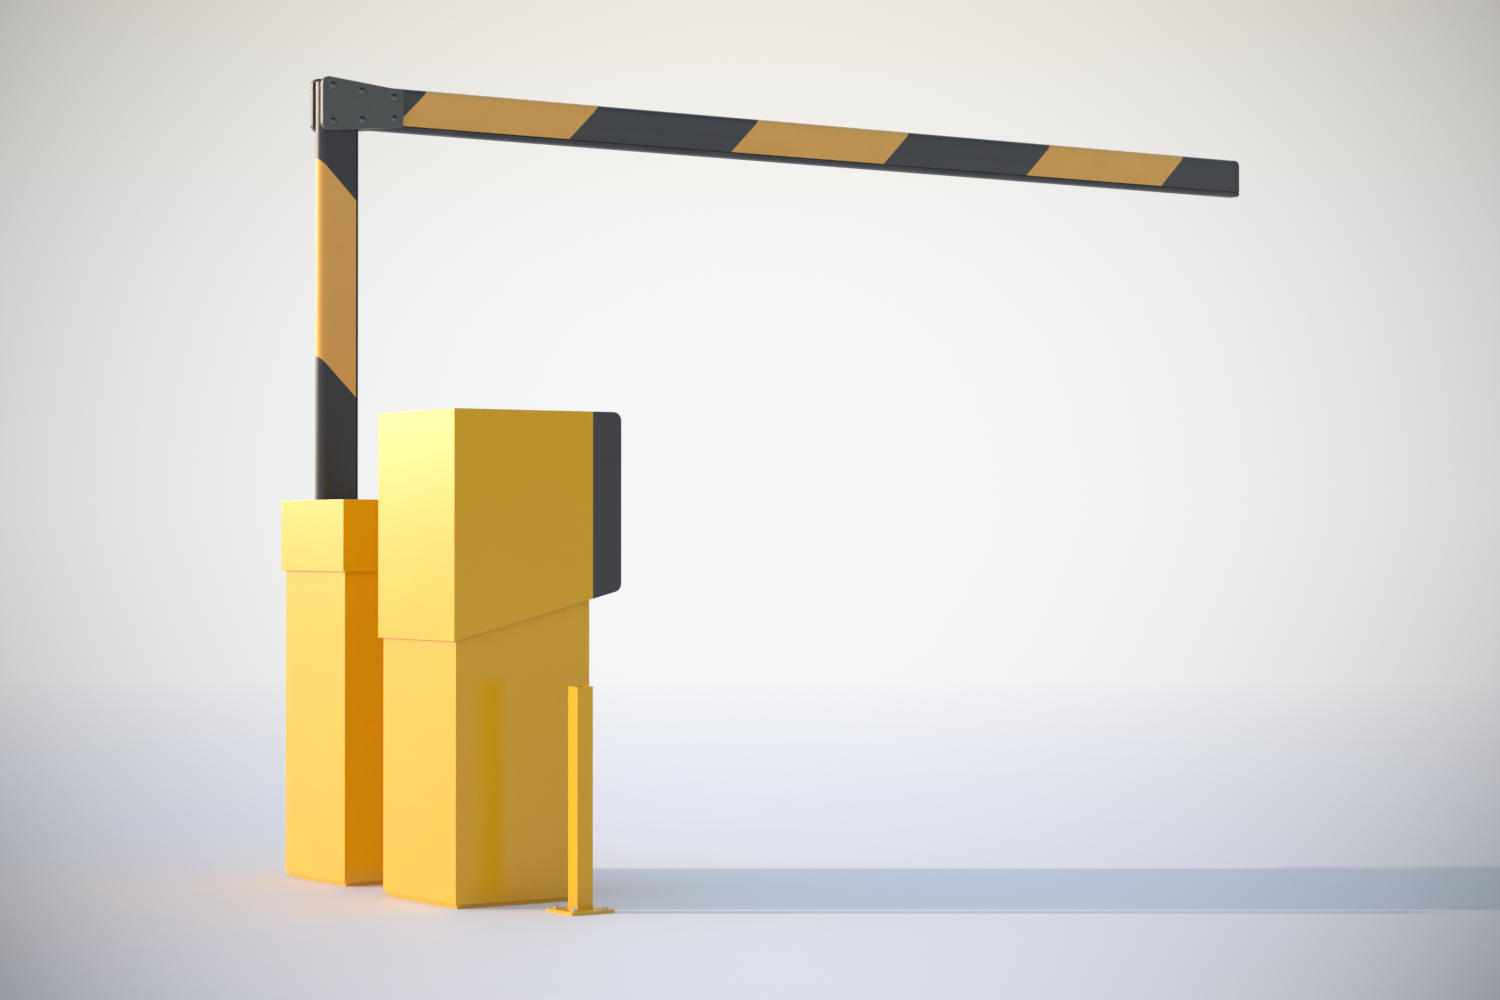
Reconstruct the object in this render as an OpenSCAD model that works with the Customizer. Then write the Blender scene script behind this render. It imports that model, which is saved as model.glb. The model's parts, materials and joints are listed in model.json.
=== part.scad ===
// Parking barrier gate: a barrier cabinet with a folding boom, a ticket terminal and a guard post.
// Millimetres, +Z up. The origin is the centre of the barrier cabinet's footprint, on the ground.
// +X is the way the folded arm points, and +Y is the side of the cabinet that carries the boom.
// At rest the boom is raised and its outer arm is folded level.

/* [Barrier cabinet] */
// Outer width and depth of the hood
hood_w = 360; // [340:1:380]
// Height of the cabinet above the ground
cabinet_h = 1000; // [980:1:1040]
// Height of the hood's skirt
hood_h = 187; // [170:1:200]
// How far the hood stands out past the body on each side
hood_overhang = 9.5; // [8:0.5:12]
// Sheet thickness of the bodies
sheet = 3; // [2:0.5:4]
// Sheet thickness of the hoods
hood_sheet = 2.5; // [2:0.5:3]
// Thickness of the base plates, which is the gap below the bodies
base_t = 10; // [8:1:12]
// How far the base plates are set in from the bodies
base_inset = 8; // [6:1:12]
// Distance between the foundation bolts of a cabinet, along X and along Y
anchor_pitch = 250; // [230:5:250]
// Radius of a foundation bolt hole
anchor_r = 7; // [6:0.5:8]

/* [Folding boom] */
// Place along X of the main shaft and of the knuckle
hinge_x = 14; // [5:1:20]
// Height of the main shaft
shaft_z = 880; // [870:1:890]
// Distance from the main shaft to the knuckle
boom_len = 1197; // [900:1:1400]
// Distance from the knuckle to the tip of the arm
arm_len = 3283; // [2600:1:3800]
// Place along Y of the boom's middle plane
boom_y = 242; // [240:1:250]
// Thickness of the boom profile
boom_t = 45; // [45:1:45]
// Height of the aluminium profile
boom_h = 105; // [90:1:110]
// Height of the rubber bumper under the arm's profile
bumper_h = 15.5; // [12:0.5:20]
// Height of the rubber bumper under the inner boom's deeper profile
inner_bumper_h = 9; // [9:1:16]
// Distance from the line through both pivots to the lower side of the inner boom's bumper
inner_depth = 58; // [56:1:60]
// Wall thickness of the profile
boom_wall = 3; // [2:0.5:4]
// Length of one stripe of the arm, measured along the arm
stripe_len = 555; // [450:1:556]
// Distance from the knuckle to the first yellow stripe, along the arm's upper edge
stripe_start = 274; // [250:1:300]
// Start of the inner boom's stripe, as a distance from the main shaft
boom_stripe_from = 512; // [480:1:540]
// End of the inner boom's stripe, as a distance from the main shaft
boom_stripe_to = 1048; // [1000:1:1070]

/* [Knuckle] */
// Thickness of a knuckle plate beside the boom
plate_t = 14; // [12:0.5:16]
// Length of a knuckle plate behind the hinge
plate_back = 60; // [60:1:62]
// Length of a knuckle plate in front of the hinge
plate_front = 185; // [180:1:200]
// Half height of a knuckle plate at its back edge
plate_half_back = 73; // [70:1:76]
// Half height of a knuckle plate at its front edge
plate_half_front = 51.5; // [48:0.5:56]

/* [Ticket terminal] */
// Place along Y of the terminal's middle plane
terminal_y = -600; // [-640:1:-580]
// Outer width of the hood along Y
terminal_w = 394; // [380:1:400]
// Length of the hood along X
terminal_l = 394; // [380:1:400]
// Depth of the hinged fascia along X
fascia_d = 82; // [70:1:90]
// Height of the terminal above the ground
terminal_h = 1215; // [1190:1:1240]
// Height of the hood's lower edge at its back
skirt_z = 649; // [630:1:670]
// Rise of the hood's lower edge for each unit of length
skirt_slope = 0.254; // [0.2:0.01:0.3]

/* [Guard post] */
// Place along X of the post
post_x = 34; // [0:1:60]
// Place along Y of the post
post_y = -1005; // [-1040:1:-980]
// Height of the post above the ground
post_h = 543; // [400:1:700]
// Side of the square tube
post_w = 45; // [40:1:60]
// Side of the post's base plate
post_plate_w = 120; // [110:1:140]
// Distance from the middle of the plate to each bolt, along X and along Y
post_bolt_at = 43; // [40:1:45]
// Thickness of the post's base plate
post_plate_t = 8; // [6:1:10]

/* [Drive] */
// Distance from a shaft's centre to its link pin
crank_r = 80; // [75:1:80]
// Height of the crank shaft
crank_z = 640; // [635:1:645]
// Module of the drive gears
gear_module = 2.5; // [2.5:0.5:2.5]
// Teeth of the gear on the crank shaft
gear_teeth = 45; // [45:1:45]
// Teeth of the motor pinion
pinion_teeth = 18; // [18:1:18]
// Turns of the balance spring
spring_turns = 5; // [4:1:5]
// Distance from each boom pivot to its levelling rod pivot, along X and along Z
rod_offset = 30; // [28:1:32]

/* [Fits] */
// Gap between two pieces that are fixed together
fit = 0.02; // [0.01:0.01:0.03]
// Radial clearance of a running fit
run = 0.05; // [0.03:0.01:0.08]

/* [Hidden] */
$fn = 64;

// Colours
yellow = "#F2B233";
dark = "#3E4246";
steel = "#A9ADB0";
zinc = "#C4C7C9";
cast = "#5D6468";
rubber = "#26282A";
bronze = "#B08A4A";

// Barrier cabinet
body_w = hood_w - 2 * hood_overhang;
body_half = body_w / 2;
body_in = body_half - sheet;
hood_half = hood_w / 2;
rim_w = 30;
rim_top = cabinet_h - hood_sheet;
cable_r = 8;
cable_at = [-80, -127];
cable_cut = [80, 50];
door_open_half = 135;
door_open_z = [60, 780];
door_lap = 15;

// Drive frame: two plates across Y, and what runs between them
inner_plate_y = -50;
outer_plate_y = 100;
frame_t = 8;
frame_top = 968;
foot_half = 130;
foot_top = 120;
neck_low = 160;
neck_x = [-90, 95];
shaft_r = 17.5;
shaft_end_y = 206;
housing_w = 24;
lever_y = 50;
lever_t = 12;
hub_y = 44;
hub_w = 36;
link_pin_r = 8;
gear_y = -34;
gear_w = 18;
crank_shaft_r = 15;
pitch_r = gear_module * gear_teeth / 2;
pinion_pitch_r = gear_module * pinion_teeth / 2;
pinion_z = crank_z - pitch_r - pinion_pitch_r;
pinion_shaft_r = 9;
stop_at = 65;
stop_arm_w = 24;
buffer_l = 16;
bar_w = 20;
motor_y = inner_plate_y - 60;
gearbox_w = 104;
gearbox_d = 84;
control_half = 110;
control_d = 60;
control_z = [672, 860];
shaft_at = [hinge_x, shaft_z];
crank_at = [hinge_x, crank_z];
pinion_at = [hinge_x, pinion_z];
pin_offset = crank_r * [-cos(45), -sin(45)];
pressure_angle = 20;
flank_steps = 4;
backlash = 0.15;

// Balance spring, and the two pegs that its straight ends lean on
spring_r = 38;
wire_r = 6;
wire_sides = 10;
turn_steps = 20;
leg = 34;
spring_y0 = inner_plate_y + frame_t + wire_r + 3;
spring_y1 = hub_y - wire_r - 8;
spring_angle = 360 * spring_turns;
spring_steps = turn_steps * spring_turns;
peg_r = 5;
peg_at = [spring_r + wire_r + peg_r + 0.3, 26];

// Boom: the profile's height is measured from the line through both pivots
profile_low = (bumper_h - boom_h) / 2;
profile_high = profile_low + boom_h;
boom_low = profile_low - bumper_h;
inner_low = inner_bumper_h - inner_depth;
bumper_gap_h = 3;
bumper_r = 8;
groove_w = 12;
groove_d = 6;
film_t = 0.3;
tip_r = profile_high;
tail_len = 80;
knuckle_z = shaft_z + boom_len;
arm_start = 68.5;
cap_t = 18;
boom_front = boom_y - boom_t / 2;
boom_back = boom_y + boom_t / 2;
plate_gap = 1;
corner_steps = 12;
plate_front_y = boom_front - plate_gap - plate_t;
plate_back_y = boom_back + plate_gap + plate_t;
knuckle_pin_r = 12;
bush_r = 16;
rod_r = 4.5;
rod_pin_r = 7;
rod_y = plate_back_y + 6.5;
rod_t = 10;
bracket_t = 8;
screw_r = 4;
head_r = 10.5;
head_h = 5.5;
screw_at = [159, 29.5];
pocket_y = 10;
back_pad = [[-28.5, 48.5], 12];
front_pad = [[60, 39.5], 7];

// Ticket terminal
term_half = terminal_w / 2;
term_inset = 10;
term_x = terminal_l / 2;
front_x = term_x + fascia_d;
body_front_x = term_x - 5;
fascia_gap = 0.5;
panel_x = front_x - sheet;
hinge_r = 5;
hinge_pin_r = 2.5;
door_hinge_at = [body_half + 5.5, -body_half + 13.5];
fascia_hinge_at = [term_x + 1, terminal_y + term_half + hinge_r + 0.5];
door_hinge_zs = [150, 650];
fascia_hinge_zs = [850, 1130];
door_lock_at = [115, 420];
fascia_lock_at = [terminal_y - 145, 950];
lock_r = 9;
service_half = 158;
service_z = [800, 1180];
display_half = 66;
display_z = [1082, 1152];
mouth_half = [50, 12];
slot_half = [35, 4];
slot_z = 965;
button_z = 890;
button_r = 20;
call_at = [terminal_y - 90, 1030];
call_r = 11;
speaker_at = call_at + [0, 65];
speaker_pitch = 9;
roll_at = [95, 1095];
roll_r = 58;
spindle_r = 8;

// Guard post
post_corner = 3.5;
post_bolt_r = 4;

// ---- Helpers ----

// Extrudes a drawing in the X-Z plane along Y, from y0 over the length t
module plate_y(y0, t) {
    translate([0, y0 + t, 0])
        rotate([90, 0, 0])
            linear_extrude(t)
                children();
}

// Extrudes a drawing in the Y-Z plane along X, from x0 over the length t
module bar_x(x0, t) {
    translate([x0, 0, 0])
        rotate([90, 0, 90])
            linear_extrude(t)
                children();
}

// A round bar along Y at a point [x, z]
module pin_y(at, r, y0, y1) {
    translate([at[0], y0, at[1]])
        rotate([-90, 0, 0])
            cylinder(h = y1 - y0, r = r);
}

// A round bar along X at a point [y, z]
module pin_x(at, r, x0, x1) {
    translate([x0, at[0], at[1]])
        rotate([0, 90, 0])
            cylinder(h = x1 - x0, r = r);
}

// A box between two corners
module box(low, high) {
    translate(low)
        cube(high - low);
}

// Direction that the straight side of a belt faces, from circle k to the next one, clockwise
function side_angle(centres, radii, k) =
    let (
        next = (k + 1) % len(centres),
        along = centres[next] - centres[k]
    )
    atan2(along[1], along[0]) + acos((radii[k] - radii[next]) / norm(along));

// Points along the belt around circles, whose centres are given clockwise
function belt_points(centres, radii) = [
    for (k = [0:len(centres) - 1])
        let (
            last = (k + len(centres) - 1) % len(centres),
            from = side_angle(centres, radii, last),
            sweep = (from - side_angle(centres, radii, k) + 720) % 360
        )
        for (step = [0:corner_steps])
            let (a = from - sweep * step / corner_steps)
                centres[k] + radii[k] * [cos(a), sin(a)]
];

// Two circles and the straight belt around them, with true arcs
module belt(a, ra, b, rb) {
    there = side_angle([a, b], [ra, rb], 0);
    back = side_angle([a, b], [ra, rb], 1);
    polygon([
        a + ra * [cos(there), sin(there)], b + rb * [cos(there), sin(there)],
        b + rb * [cos(back), sin(back)], a + ra * [cos(back), sin(back)],
    ]);
    translate(a)
        circle(ra);
    translate(b)
        circle(rb);
}

// A square or rectangle around the middle, with rounded corners
module rounded(w, h, r) {
    square([w - 2 * r, h], center = true);
    square([w, h - 2 * r], center = true);
    for (x = [-1, 1], y = [-1, 1])
        translate([x * (w / 2 - r), y * (h / 2 - r)])
            circle(r);
}

// The cap of a sphere on the X-Y plane, with radius r and height h
module dome(r, h) {
    big = (r * r + h * h) / (2 * h);
    intersection() {
        translate([0, 0, h - big])
            sphere(big);
        cylinder(h = h, r = r);
    }
}

// A hexagonal bolt head or nut along +Z, over flats w
module hexagon(w, h) {
    cylinder(h = h, r = w / 2 / cos(30), $fn = 6);
}

// ---- Barrier cabinet: casing ----

module base_plate(w, l) {
    difference() {
        translate([-l / 2, -w / 2, 0])
            cube([l, w, base_t]);
        for (x = [-1, 1], y = [-1, 1])
            translate([x * anchor_pitch / 2, y * anchor_pitch / 2, -1])
                cylinder(h = base_t + 2, r = anchor_r);
        translate([cable_at[0] - cable_cut[0] / 2, cable_at[1] - cable_cut[1] / 2, -1])
            cube([cable_cut[0], cable_cut[1], base_t + 2]);
    }
}

module base_frame() {
    color(yellow)
        base_plate(body_w - 2 * base_inset, body_w - 2 * base_inset);
}

module cabinet_body() {
    color(yellow)
        difference() {
            box([-body_half, -body_half, base_t], [body_half, body_half, rim_top]);
            box([-body_in, -body_in, base_t + sheet], [body_in, body_in, rim_top - sheet]);
            translate([0, 0, base_t - 1])
                linear_extrude(cabinet_h)
                    square(2 * (body_in - rim_w), center = true);
            box([body_in - 1, -door_open_half, door_open_z[0]],
                [body_half + 1, door_open_half, door_open_z[1]]);
            pin_y(shaft_at, 30, body_in - 1, body_half + 1);
        }
}

module cabinet_hood() {
    inside = hood_half - hood_sheet;
    seal_half = 34;
    color(yellow)
        difference() {
            box([-hood_half, -hood_half, cabinet_h - hood_h], [hood_half, hood_half, cabinet_h]);
            box([-inside, -inside, 0], [inside, inside, rim_top]);
            box([hinge_x - seal_half, inside - 1, 0], [hinge_x + seal_half, hood_half + 1, shaft_z]);
            pin_y(shaft_at, seal_half, inside - 1, hood_half + 1);
        }
}

module cabinet_door() {
    inner = body_half + 0.5;
    outer = inner + sheet;
    half = door_open_half + door_lap;
    rib_d = 14;
    rib_w = 16;
    rib_ys = [-103, 72];
    color(yellow)
        difference() {
            union() {
                box([inner, -half, door_open_z[0] - door_lap],
                    [outer, half, door_open_z[1] + door_lap]);
                for (y = rib_ys)
                    box([inner - rib_d, y, door_open_z[0] + 10],
                        [inner, y + rib_w, door_open_z[1] - 10]);
                for (z = door_hinge_zs)
                    moving_knuckle(door_hinge_at, z, outer);
            }
            pin_x(door_lock_at, lock_r + run, inner - 1, outer + 1);
            for (z = door_hinge_zs)
                knuckle_bore(door_hinge_at, z);
        }
}

// ---- Hinges of the two doors ----

// The door's half of a hinge: a barrel and a leaf that lies on the outer face, at x = face
module moving_knuckle(at, z, face) {
    translate([at[0], at[1], z])
        cylinder(h = 30, r = hinge_r);
    box([face - 1, at[1], z], [face + 2, at[1] + 28, z + 30]);
}

module knuckle_bore(at, z) {
    translate([at[0], at[1], z - 1])
        cylinder(h = 32, r = hinge_pin_r + run);
}

// The cabinet's half: a barrel below the moving one, on a block that meets the wall
module fixed_knuckle(at, z, block_low, block_high) {
    difference() {
        union() {
            translate([at[0], at[1], z - 30.5])
                cylinder(h = 30, r = hinge_r);
            box([block_low[0], block_low[1], z - 30.5], [block_high[0], block_high[1], z - 0.5]);
        }
        translate([at[0], at[1], z - 31.5])
            cylinder(h = 32, r = hinge_pin_r + fit);
    }
}

module hinge_knuckles() {
    color(zinc) {
        for (z = door_hinge_zs)
            fixed_knuckle(door_hinge_at, z, [body_half, -body_half + 2],
                [body_half + 5.5, door_hinge_at[1]]);
        for (z = fascia_hinge_zs)
            fixed_knuckle(fascia_hinge_at, z, [term_x - 26, terminal_y + term_half],
                [term_x + 1, fascia_hinge_at[1]]);
    }
}

module hinge_pins() {
    color(steel) {
        for (z = door_hinge_zs)
            translate([door_hinge_at[0], door_hinge_at[1], z - 30])
                cylinder(h = 59, r = hinge_pin_r);
        for (z = fascia_hinge_zs)
            translate([fascia_hinge_at[0], fascia_hinge_at[1], z - 30])
                cylinder(h = 59, r = hinge_pin_r);
    }
}

// A key lock along X: face flange, barrel and a cam that points up while the lock is open
module cam_lock(at, face, cam_x) {
    pin_x(at, lock_r, cam_x, face + 0.5);
    translate([face, 0, 0])
        difference() {
            pin_x(at, lock_r + 4, 0, 4);
            box([2, at[0] - 0.8, at[1] - 5], [5, at[0] + 0.8, at[1] + 5]);
        }
    translate([0, at[0], at[1]])
        bar_x(cam_x, 3)
            belt([0, 0], lock_r, [0, 30], 5);
}

module door_lock() {
    color(zinc)
        cam_lock(door_lock_at, body_half + 0.5 + sheet, body_in - 8);
}

// ---- Drive frame ----

module frame_plate(y0, foot) {
    difference() {
        union() {
            plate_y(y0, frame_t)
                polygon([
                    [-foot_half, base_t], [foot_half, base_t],
                    [foot_half, foot_top], [neck_x[1], neck_low],
                    [neck_x[1], frame_top], [neck_x[0], frame_top],
                    [neck_x[0], neck_low], [-foot_half, foot_top],
                ]);
            box([30 - foot_half, min(y0, y0 + foot), base_t],
                [foot_half - 30, max(y0, y0 + foot), base_t + 6]);
        }
        for (x = [-60, 60])
            translate([x, y0 + foot * 0.6, base_t - 1])
                cylinder(h = 8, r = 4.5);
        pin_y(shaft_at, 24, y0 - 1, y0 + frame_t + 1);
        pin_y(crank_at, crank_shaft_r + run, y0 - 1, y0 + frame_t + 1);
        housing_screw_places()
            pin_y([0, 0], 4, y0 - 1, y0 + frame_t + 1);
    }
}

module outer_frame_plate() {
    color(steel)
        frame_plate(outer_plate_y, -34);
}

module inner_frame_plate() {
    face = inner_plate_y + frame_t;
    color(steel)
        difference() {
            union() {
                frame_plate(inner_plate_y, 42);
                pin_y(shaft_at + [peg_at[0], -peg_at[1]], peg_r, face - 1, face + 22);
            }
            pin_y(pinion_at, 30, inner_plate_y - 1, face + 1);
        }
}

// Where the cross bars sit: the two upper ones carry the stops, and two more stiffen the frame
function stop_bar_at(side) =
    shaft_at + [stop_at * cos(45), side * stop_at * sin(45)]
    + (stop_arm_w / 2 + 0.3 + buffer_l + bar_w / 2) * [-cos(45), side * sin(45)];

module frame_bars() {
    y0 = inner_plate_y + frame_t;
    color(steel) {
        for (side = [-1, 1])
            translate([stop_bar_at(side)[0], 0, stop_bar_at(side)[1]])
                rotate([0, -side * 45, 0])
                    plate_y(y0, outer_plate_y - y0)
                        square(bar_w, center = true);
        for (x = [-70, 75])
            translate([x, 0, 200])
                plate_y(y0, outer_plate_y - y0)
                    square(bar_w, center = true);
    }
}

module housing_screw_places() {
    for (x = [-1, 1], z = [-1, 1])
        translate([shaft_at[0] + x * 30, 0, shaft_at[1] + z * 30])
            children();
}

module bearing_housing(y0, flange_y) {
    difference() {
        union() {
            plate_y(flange_y, 10)
                translate(shaft_at)
                    rounded(80, 80, 12);
            pin_y(shaft_at, 28, y0, y0 + housing_w);
        }
        pin_y(shaft_at, shaft_r + run, y0 - 1, y0 + housing_w + 1);
        housing_screw_places()
            pin_y([0, 0], 4, flange_y - 1, flange_y + 11);
    }
}

module bearing_housings() {
    outer = outer_plate_y + frame_t;
    color(cast) {
        bearing_housing(outer, outer);
        bearing_housing(inner_plate_y - housing_w, inner_plate_y - 10);
    }
}

module bearing_screws() {
    outer = outer_plate_y + frame_t + 10;
    inner = inner_plate_y - 10;
    color(zinc)
        housing_screw_places() {
            translate([0, outer, 0])
                rotate([-90, 0, 0])
                    hexagon(13, 5);
            pin_y([0, 0], 4 - fit, outer - 20, outer);
            translate([0, inner, 0])
                rotate([90, 0, 0])
                    hexagon(13, 5);
            pin_y([0, 0], 4 - fit, inner, inner + 20);
        }
}

module shaft_seal() {
    color(rubber)
        difference() {
            union() {
                pin_y(shaft_at, 30 - fit, body_in - 4, body_half + 4);
                pin_y(shaft_at, 33, body_half + fit, body_half + 4);
                pin_y(shaft_at, 33, body_in - 4, body_in - fit);
            }
            pin_y(shaft_at, shaft_r + run, body_in - 5, body_half + 5);
        }
}

// ---- Main shaft and what turns with it ----

module main_shaft() {
    color(steel)
        pin_y(shaft_at, shaft_r, inner_plate_y - housing_w - 6, shaft_end_y);
}

module shaft_lever() {
    pin_at = shaft_at + pin_offset;
    stop_tip = shaft_at + (stop_at + 8) * [cos(45), sin(45)];
    color(cast)
        difference() {
            union() {
                pin_y(shaft_at, 32, hub_y, hub_y + hub_w);
                plate_y(lever_y, lever_t) {
                    belt(shaft_at, 32, pin_at, 18);
                    belt(shaft_at, stop_arm_w / 2, stop_tip, stop_arm_w / 2);
                }
                pin_y(pin_at, link_pin_r, lever_y, lever_y + lever_t + 15);
                plate_y(hub_y - 6, 7)
                    belt(shaft_at, 24, shaft_at + peg_at, 8);
                pin_y(shaft_at + peg_at, peg_r, hub_y - 22, hub_y - 5);
            }
            pin_y(shaft_at, shaft_r + fit, hub_y - 7, hub_y + hub_w + 1);
        }
}

module stop_buffers() {
    reach = stop_arm_w / 2 + 0.3;
    color(rubber)
        for (side = [-1, 1])
            translate([
                shaft_at[0] + stop_at * cos(45) - reach * cos(45),
                lever_y + lever_t / 2,
                shaft_at[1] + side * (stop_at + reach) * sin(45),
            ])
                rotate([0, -45 - (1 - side) * 45, 0])
                    cylinder(h = buffer_l, r = 11);
}

// The spring's wire follows a helix around Y and runs off straight at both ends
function radial(a) = [cos(a), 0, sin(a)];
function tangent(a) = [-sin(a), 0, cos(a)];
function helix(t) =
    [shaft_at[0], spring_y0 + (spring_y1 - spring_y0) * t, shaft_at[1]]
    + spring_r * radial(spring_angle * t);
function wire_ring(centre, a) = [
    for (k = [0:wire_sides - 1])
        centre + wire_r * (cos(360 * k / wire_sides) * radial(a)
            + sin(360 * k / wire_sides) * [0, 1, 0])
];

module balance_spring() {
    centres = [
        helix(0) - leg * tangent(0),
        for (i = [0:spring_steps]) helix(i / spring_steps),
        helix(1) + leg * tangent(spring_angle),
    ];
    angles = [
        0,
        for (i = [0:spring_steps]) spring_angle * i / spring_steps,
        spring_angle,
    ];
    last = len(centres) - 1;
    n = wire_sides;
    points = [for (i = [0:last]) each wire_ring(centres[i], angles[i])];
    color(dark)
        polyhedron(points, [
            [for (k = [0:n - 1]) k],
            for (i = [0:last - 1], k = [0:n - 1])
                [i * n + k, (i + 1) * n + k, (i + 1) * n + (k + 1) % n],
            for (i = [0:last - 1], k = [0:n - 1])
                [i * n + k, (i + 1) * n + (k + 1) % n, i * n + (k + 1) % n],
            [for (k = [n - 1:-1:0]) last * n + k],
        ]);
}

// ---- Drive: crank, link, gears, motor ----

module crank() {
    pin_at = crank_at + pin_offset;
    color(cast) {
        pin_y(crank_at, crank_shaft_r, inner_plate_y - 2, outer_plate_y + frame_t + 2);
        pin_y(crank_at, 28, hub_y, hub_y + hub_w);
        plate_y(lever_y, lever_t)
            belt(crank_at, 28, pin_at, 18);
        pin_y(pin_at, link_pin_r, lever_y, lever_y + lever_t + 15);
    }
}

module drive_link() {
    low = crank_at + pin_offset;
    high = shaft_at + pin_offset;
    bar_half = 10;
    color(steel)
        difference() {
            plate_y(lever_y + lever_t + 1, lever_t) {
                translate(low - [bar_half, 0])
                    square([2 * bar_half, high[1] - low[1]]);
                translate(low)
                    circle(17);
                translate(high)
                    circle(17);
            }
            for (at = [low, high])
                pin_y(at, link_pin_r + run, lever_y, lever_y + 3 * lever_t);
        }
}

// Involute gear: half the angle of a tooth at radius r, with a little backlash
function involute_gap(a) = tan(a) * 180 / PI - a;
function tooth_half(r, base_r, teeth) =
    90 / teeth + involute_gap(pressure_angle) - involute_gap(acos(min(1, base_r / r)))
    - backlash / (gear_module * teeth) * 180 / PI;

module gear_outline(teeth, first) {
    pitch = gear_module * teeth / 2;
    base_r = pitch * cos(pressure_angle);
    root = pitch - 1.25 * gear_module;
    tip = pitch + gear_module;
    start = max(root, base_r);
    radii = concat([root], [for (k = [0:flank_steps]) start + (tip - start) * k / flank_steps]);
    last = len(radii) - 1;
    polygon([
        for (i = [0:teeth - 1], k = [0:2 * last + 1])
            let (
                side = k <= last ? -1 : 1,
                r = radii[k <= last ? k : 2 * last + 1 - k],
                a = first + 360 * i / teeth + side * tooth_half(r, base_r, teeth)
            )
            r * [cos(a), sin(a)],
    ]);
}

module drive_gear() {
    color(steel)
        difference() {
            union() {
                plate_y(gear_y, gear_w)
                    translate(crank_at)
                        gear_outline(gear_teeth, -90);
                pin_y(crank_at, 24, gear_y - 5, gear_y + gear_w + 10);
            }
            pin_y(crank_at, crank_shaft_r + fit, gear_y - 6, gear_y + gear_w + 11);
            for (a = [0:60:300])
                pin_y(crank_at + 37 * [cos(a), sin(a)], 7, gear_y - 1, gear_y + gear_w + 1);
        }
}

module motor_pinion() {
    color(steel) {
        plate_y(gear_y - 1, gear_w + 2)
            translate(pinion_at)
                gear_outline(pinion_teeth, 90 + 180 / pinion_teeth);
        pin_y(pinion_at, pinion_shaft_r, motor_y - 30, gear_y);
    }
}

module gearbox() {
    front = inner_plate_y;
    flange_t = 10;
    color(cast)
        difference() {
            union() {
                plate_y(motor_y - gearbox_d / 2, gearbox_d)
                    translate(pinion_at)
                        rounded(gearbox_w, gearbox_w, 14);
                pin_y(pinion_at, 40, motor_y, front - flange_t);
                plate_y(front - flange_t, flange_t)
                    translate(pinion_at)
                        rounded(gearbox_w + 6, gearbox_w + 6, 20);
            }
            pin_y(pinion_at, pinion_shaft_r + run, motor_y - 31, front + 1);
            pin_y(pinion_at, 26, front - 16, front + 1);
        }
}

// An upright motor with cooling fins, a fan cowl below and a terminal box on its side
module motor() {
    r = 48;
    length = 190;
    fins = 24;
    fin_gap = 3;
    cowl_h = 22;
    color(cast)
        translate([hinge_x, motor_y, pinion_z - gearbox_w / 2 - length])
            difference() {
                union() {
                    cylinder(h = length, r = r);
                    translate([0, 0, -cowl_h - 4])
                        cylinder(h = cowl_h, r = r + 1);
                    translate([0, 0, -6])
                        cylinder(h = 8, r = r - 6);
                    translate([-r - 22, -24, 90])
                        cube([40, 48, 60]);
                }
                for (k = [0:fins - 1])
                    rotate(360 * k / fins)
                        translate([r - 4, -fin_gap / 2, 16])
                            cube([8, fin_gap, length - 44]);
            }
}

module control_box() {
    wall = [4, 4, 4];
    low = [-control_half, -body_in, control_z[0]];
    high = [control_half, control_d - body_in, control_z[1]];
    color("#8C9092")
        difference() {
            box(low, high);
            box(low + wall, high - wall);
            translate([cable_at[0], cable_at[1], control_z[0] - 1])
                cylinder(h = 6, r = cable_r + run);
        }
}

module supply_cable() {
    color(rubber)
        translate([cable_at[0], cable_at[1], 2])
            cylinder(h = control_z[0] + 18, r = cable_r);
}

// ---- Boom: inner section ----

// Local X runs along the boom from the main shaft, and local Z is the boom's upper side once lowered
module in_boom() {
    translate([hinge_x, boom_y, shaft_z])
        rotate([0, -90, 0])
            children();
}

// Local X runs along the arm from the knuckle
module in_arm() {
    translate([hinge_x, boom_y, knuckle_z])
        children();
}

// The profile's outline: square below, at z = low, and round above
module profile_outline(grow, low) {
    r = boom_t / 2;
    translate([0, profile_high - r])
        circle(r + grow);
    translate([-r - grow, low])
        square([boom_t + 2 * grow, profile_high - low - r]);
}

// The profile's hollow, made smaller by a gap when it is drawn for a plug
module hollow_section(low, gap) {
    r = boom_t / 2 - boom_wall - gap;
    middle = profile_high - boom_t / 2;
    floor_z = low + groove_d + boom_wall + gap;
    translate([0, middle])
        circle(r);
    translate([-r, floor_z])
        square([2 * r, middle - floor_z]);
}

module tube_section(low) {
    difference() {
        profile_outline(0, low);
        hollow_section(low, 0);
        translate([-groove_w / 2, low - 1])
            square([groove_w, groove_d + 1]);
    }
}

// A bumper's body: round lower corners, and a narrow gap between its top and z = low
module bumper_body(low, lowest) {
    intersection() {
        translate([0, lowest + bumper_h])
            rounded(boom_t, 2 * bumper_h, bumper_r);
        translate([-boom_t / 2, lowest])
            square([boom_t, low - bumper_gap_h - lowest]);
    }
}

// A bumper's neck, which stands back behind the gap
module bumper_neck(low, neck_w) {
    translate([-neck_w / 2, low - bumper_gap_h - 1])
        square([neck_w, bumper_gap_h + 1]);
}

// Bumper from z = low down to z = lowest, with a tongue in the profile's groove
module bumper_section(low, lowest) {
    tongue_w = groove_w - 0.2;
    translate([-tongue_w / 2, low - 1])
        square([tongue_w, groove_d + 0.8]);
    bumper_neck(low, boom_t - 10);
    bumper_body(low, lowest);
}

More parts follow.
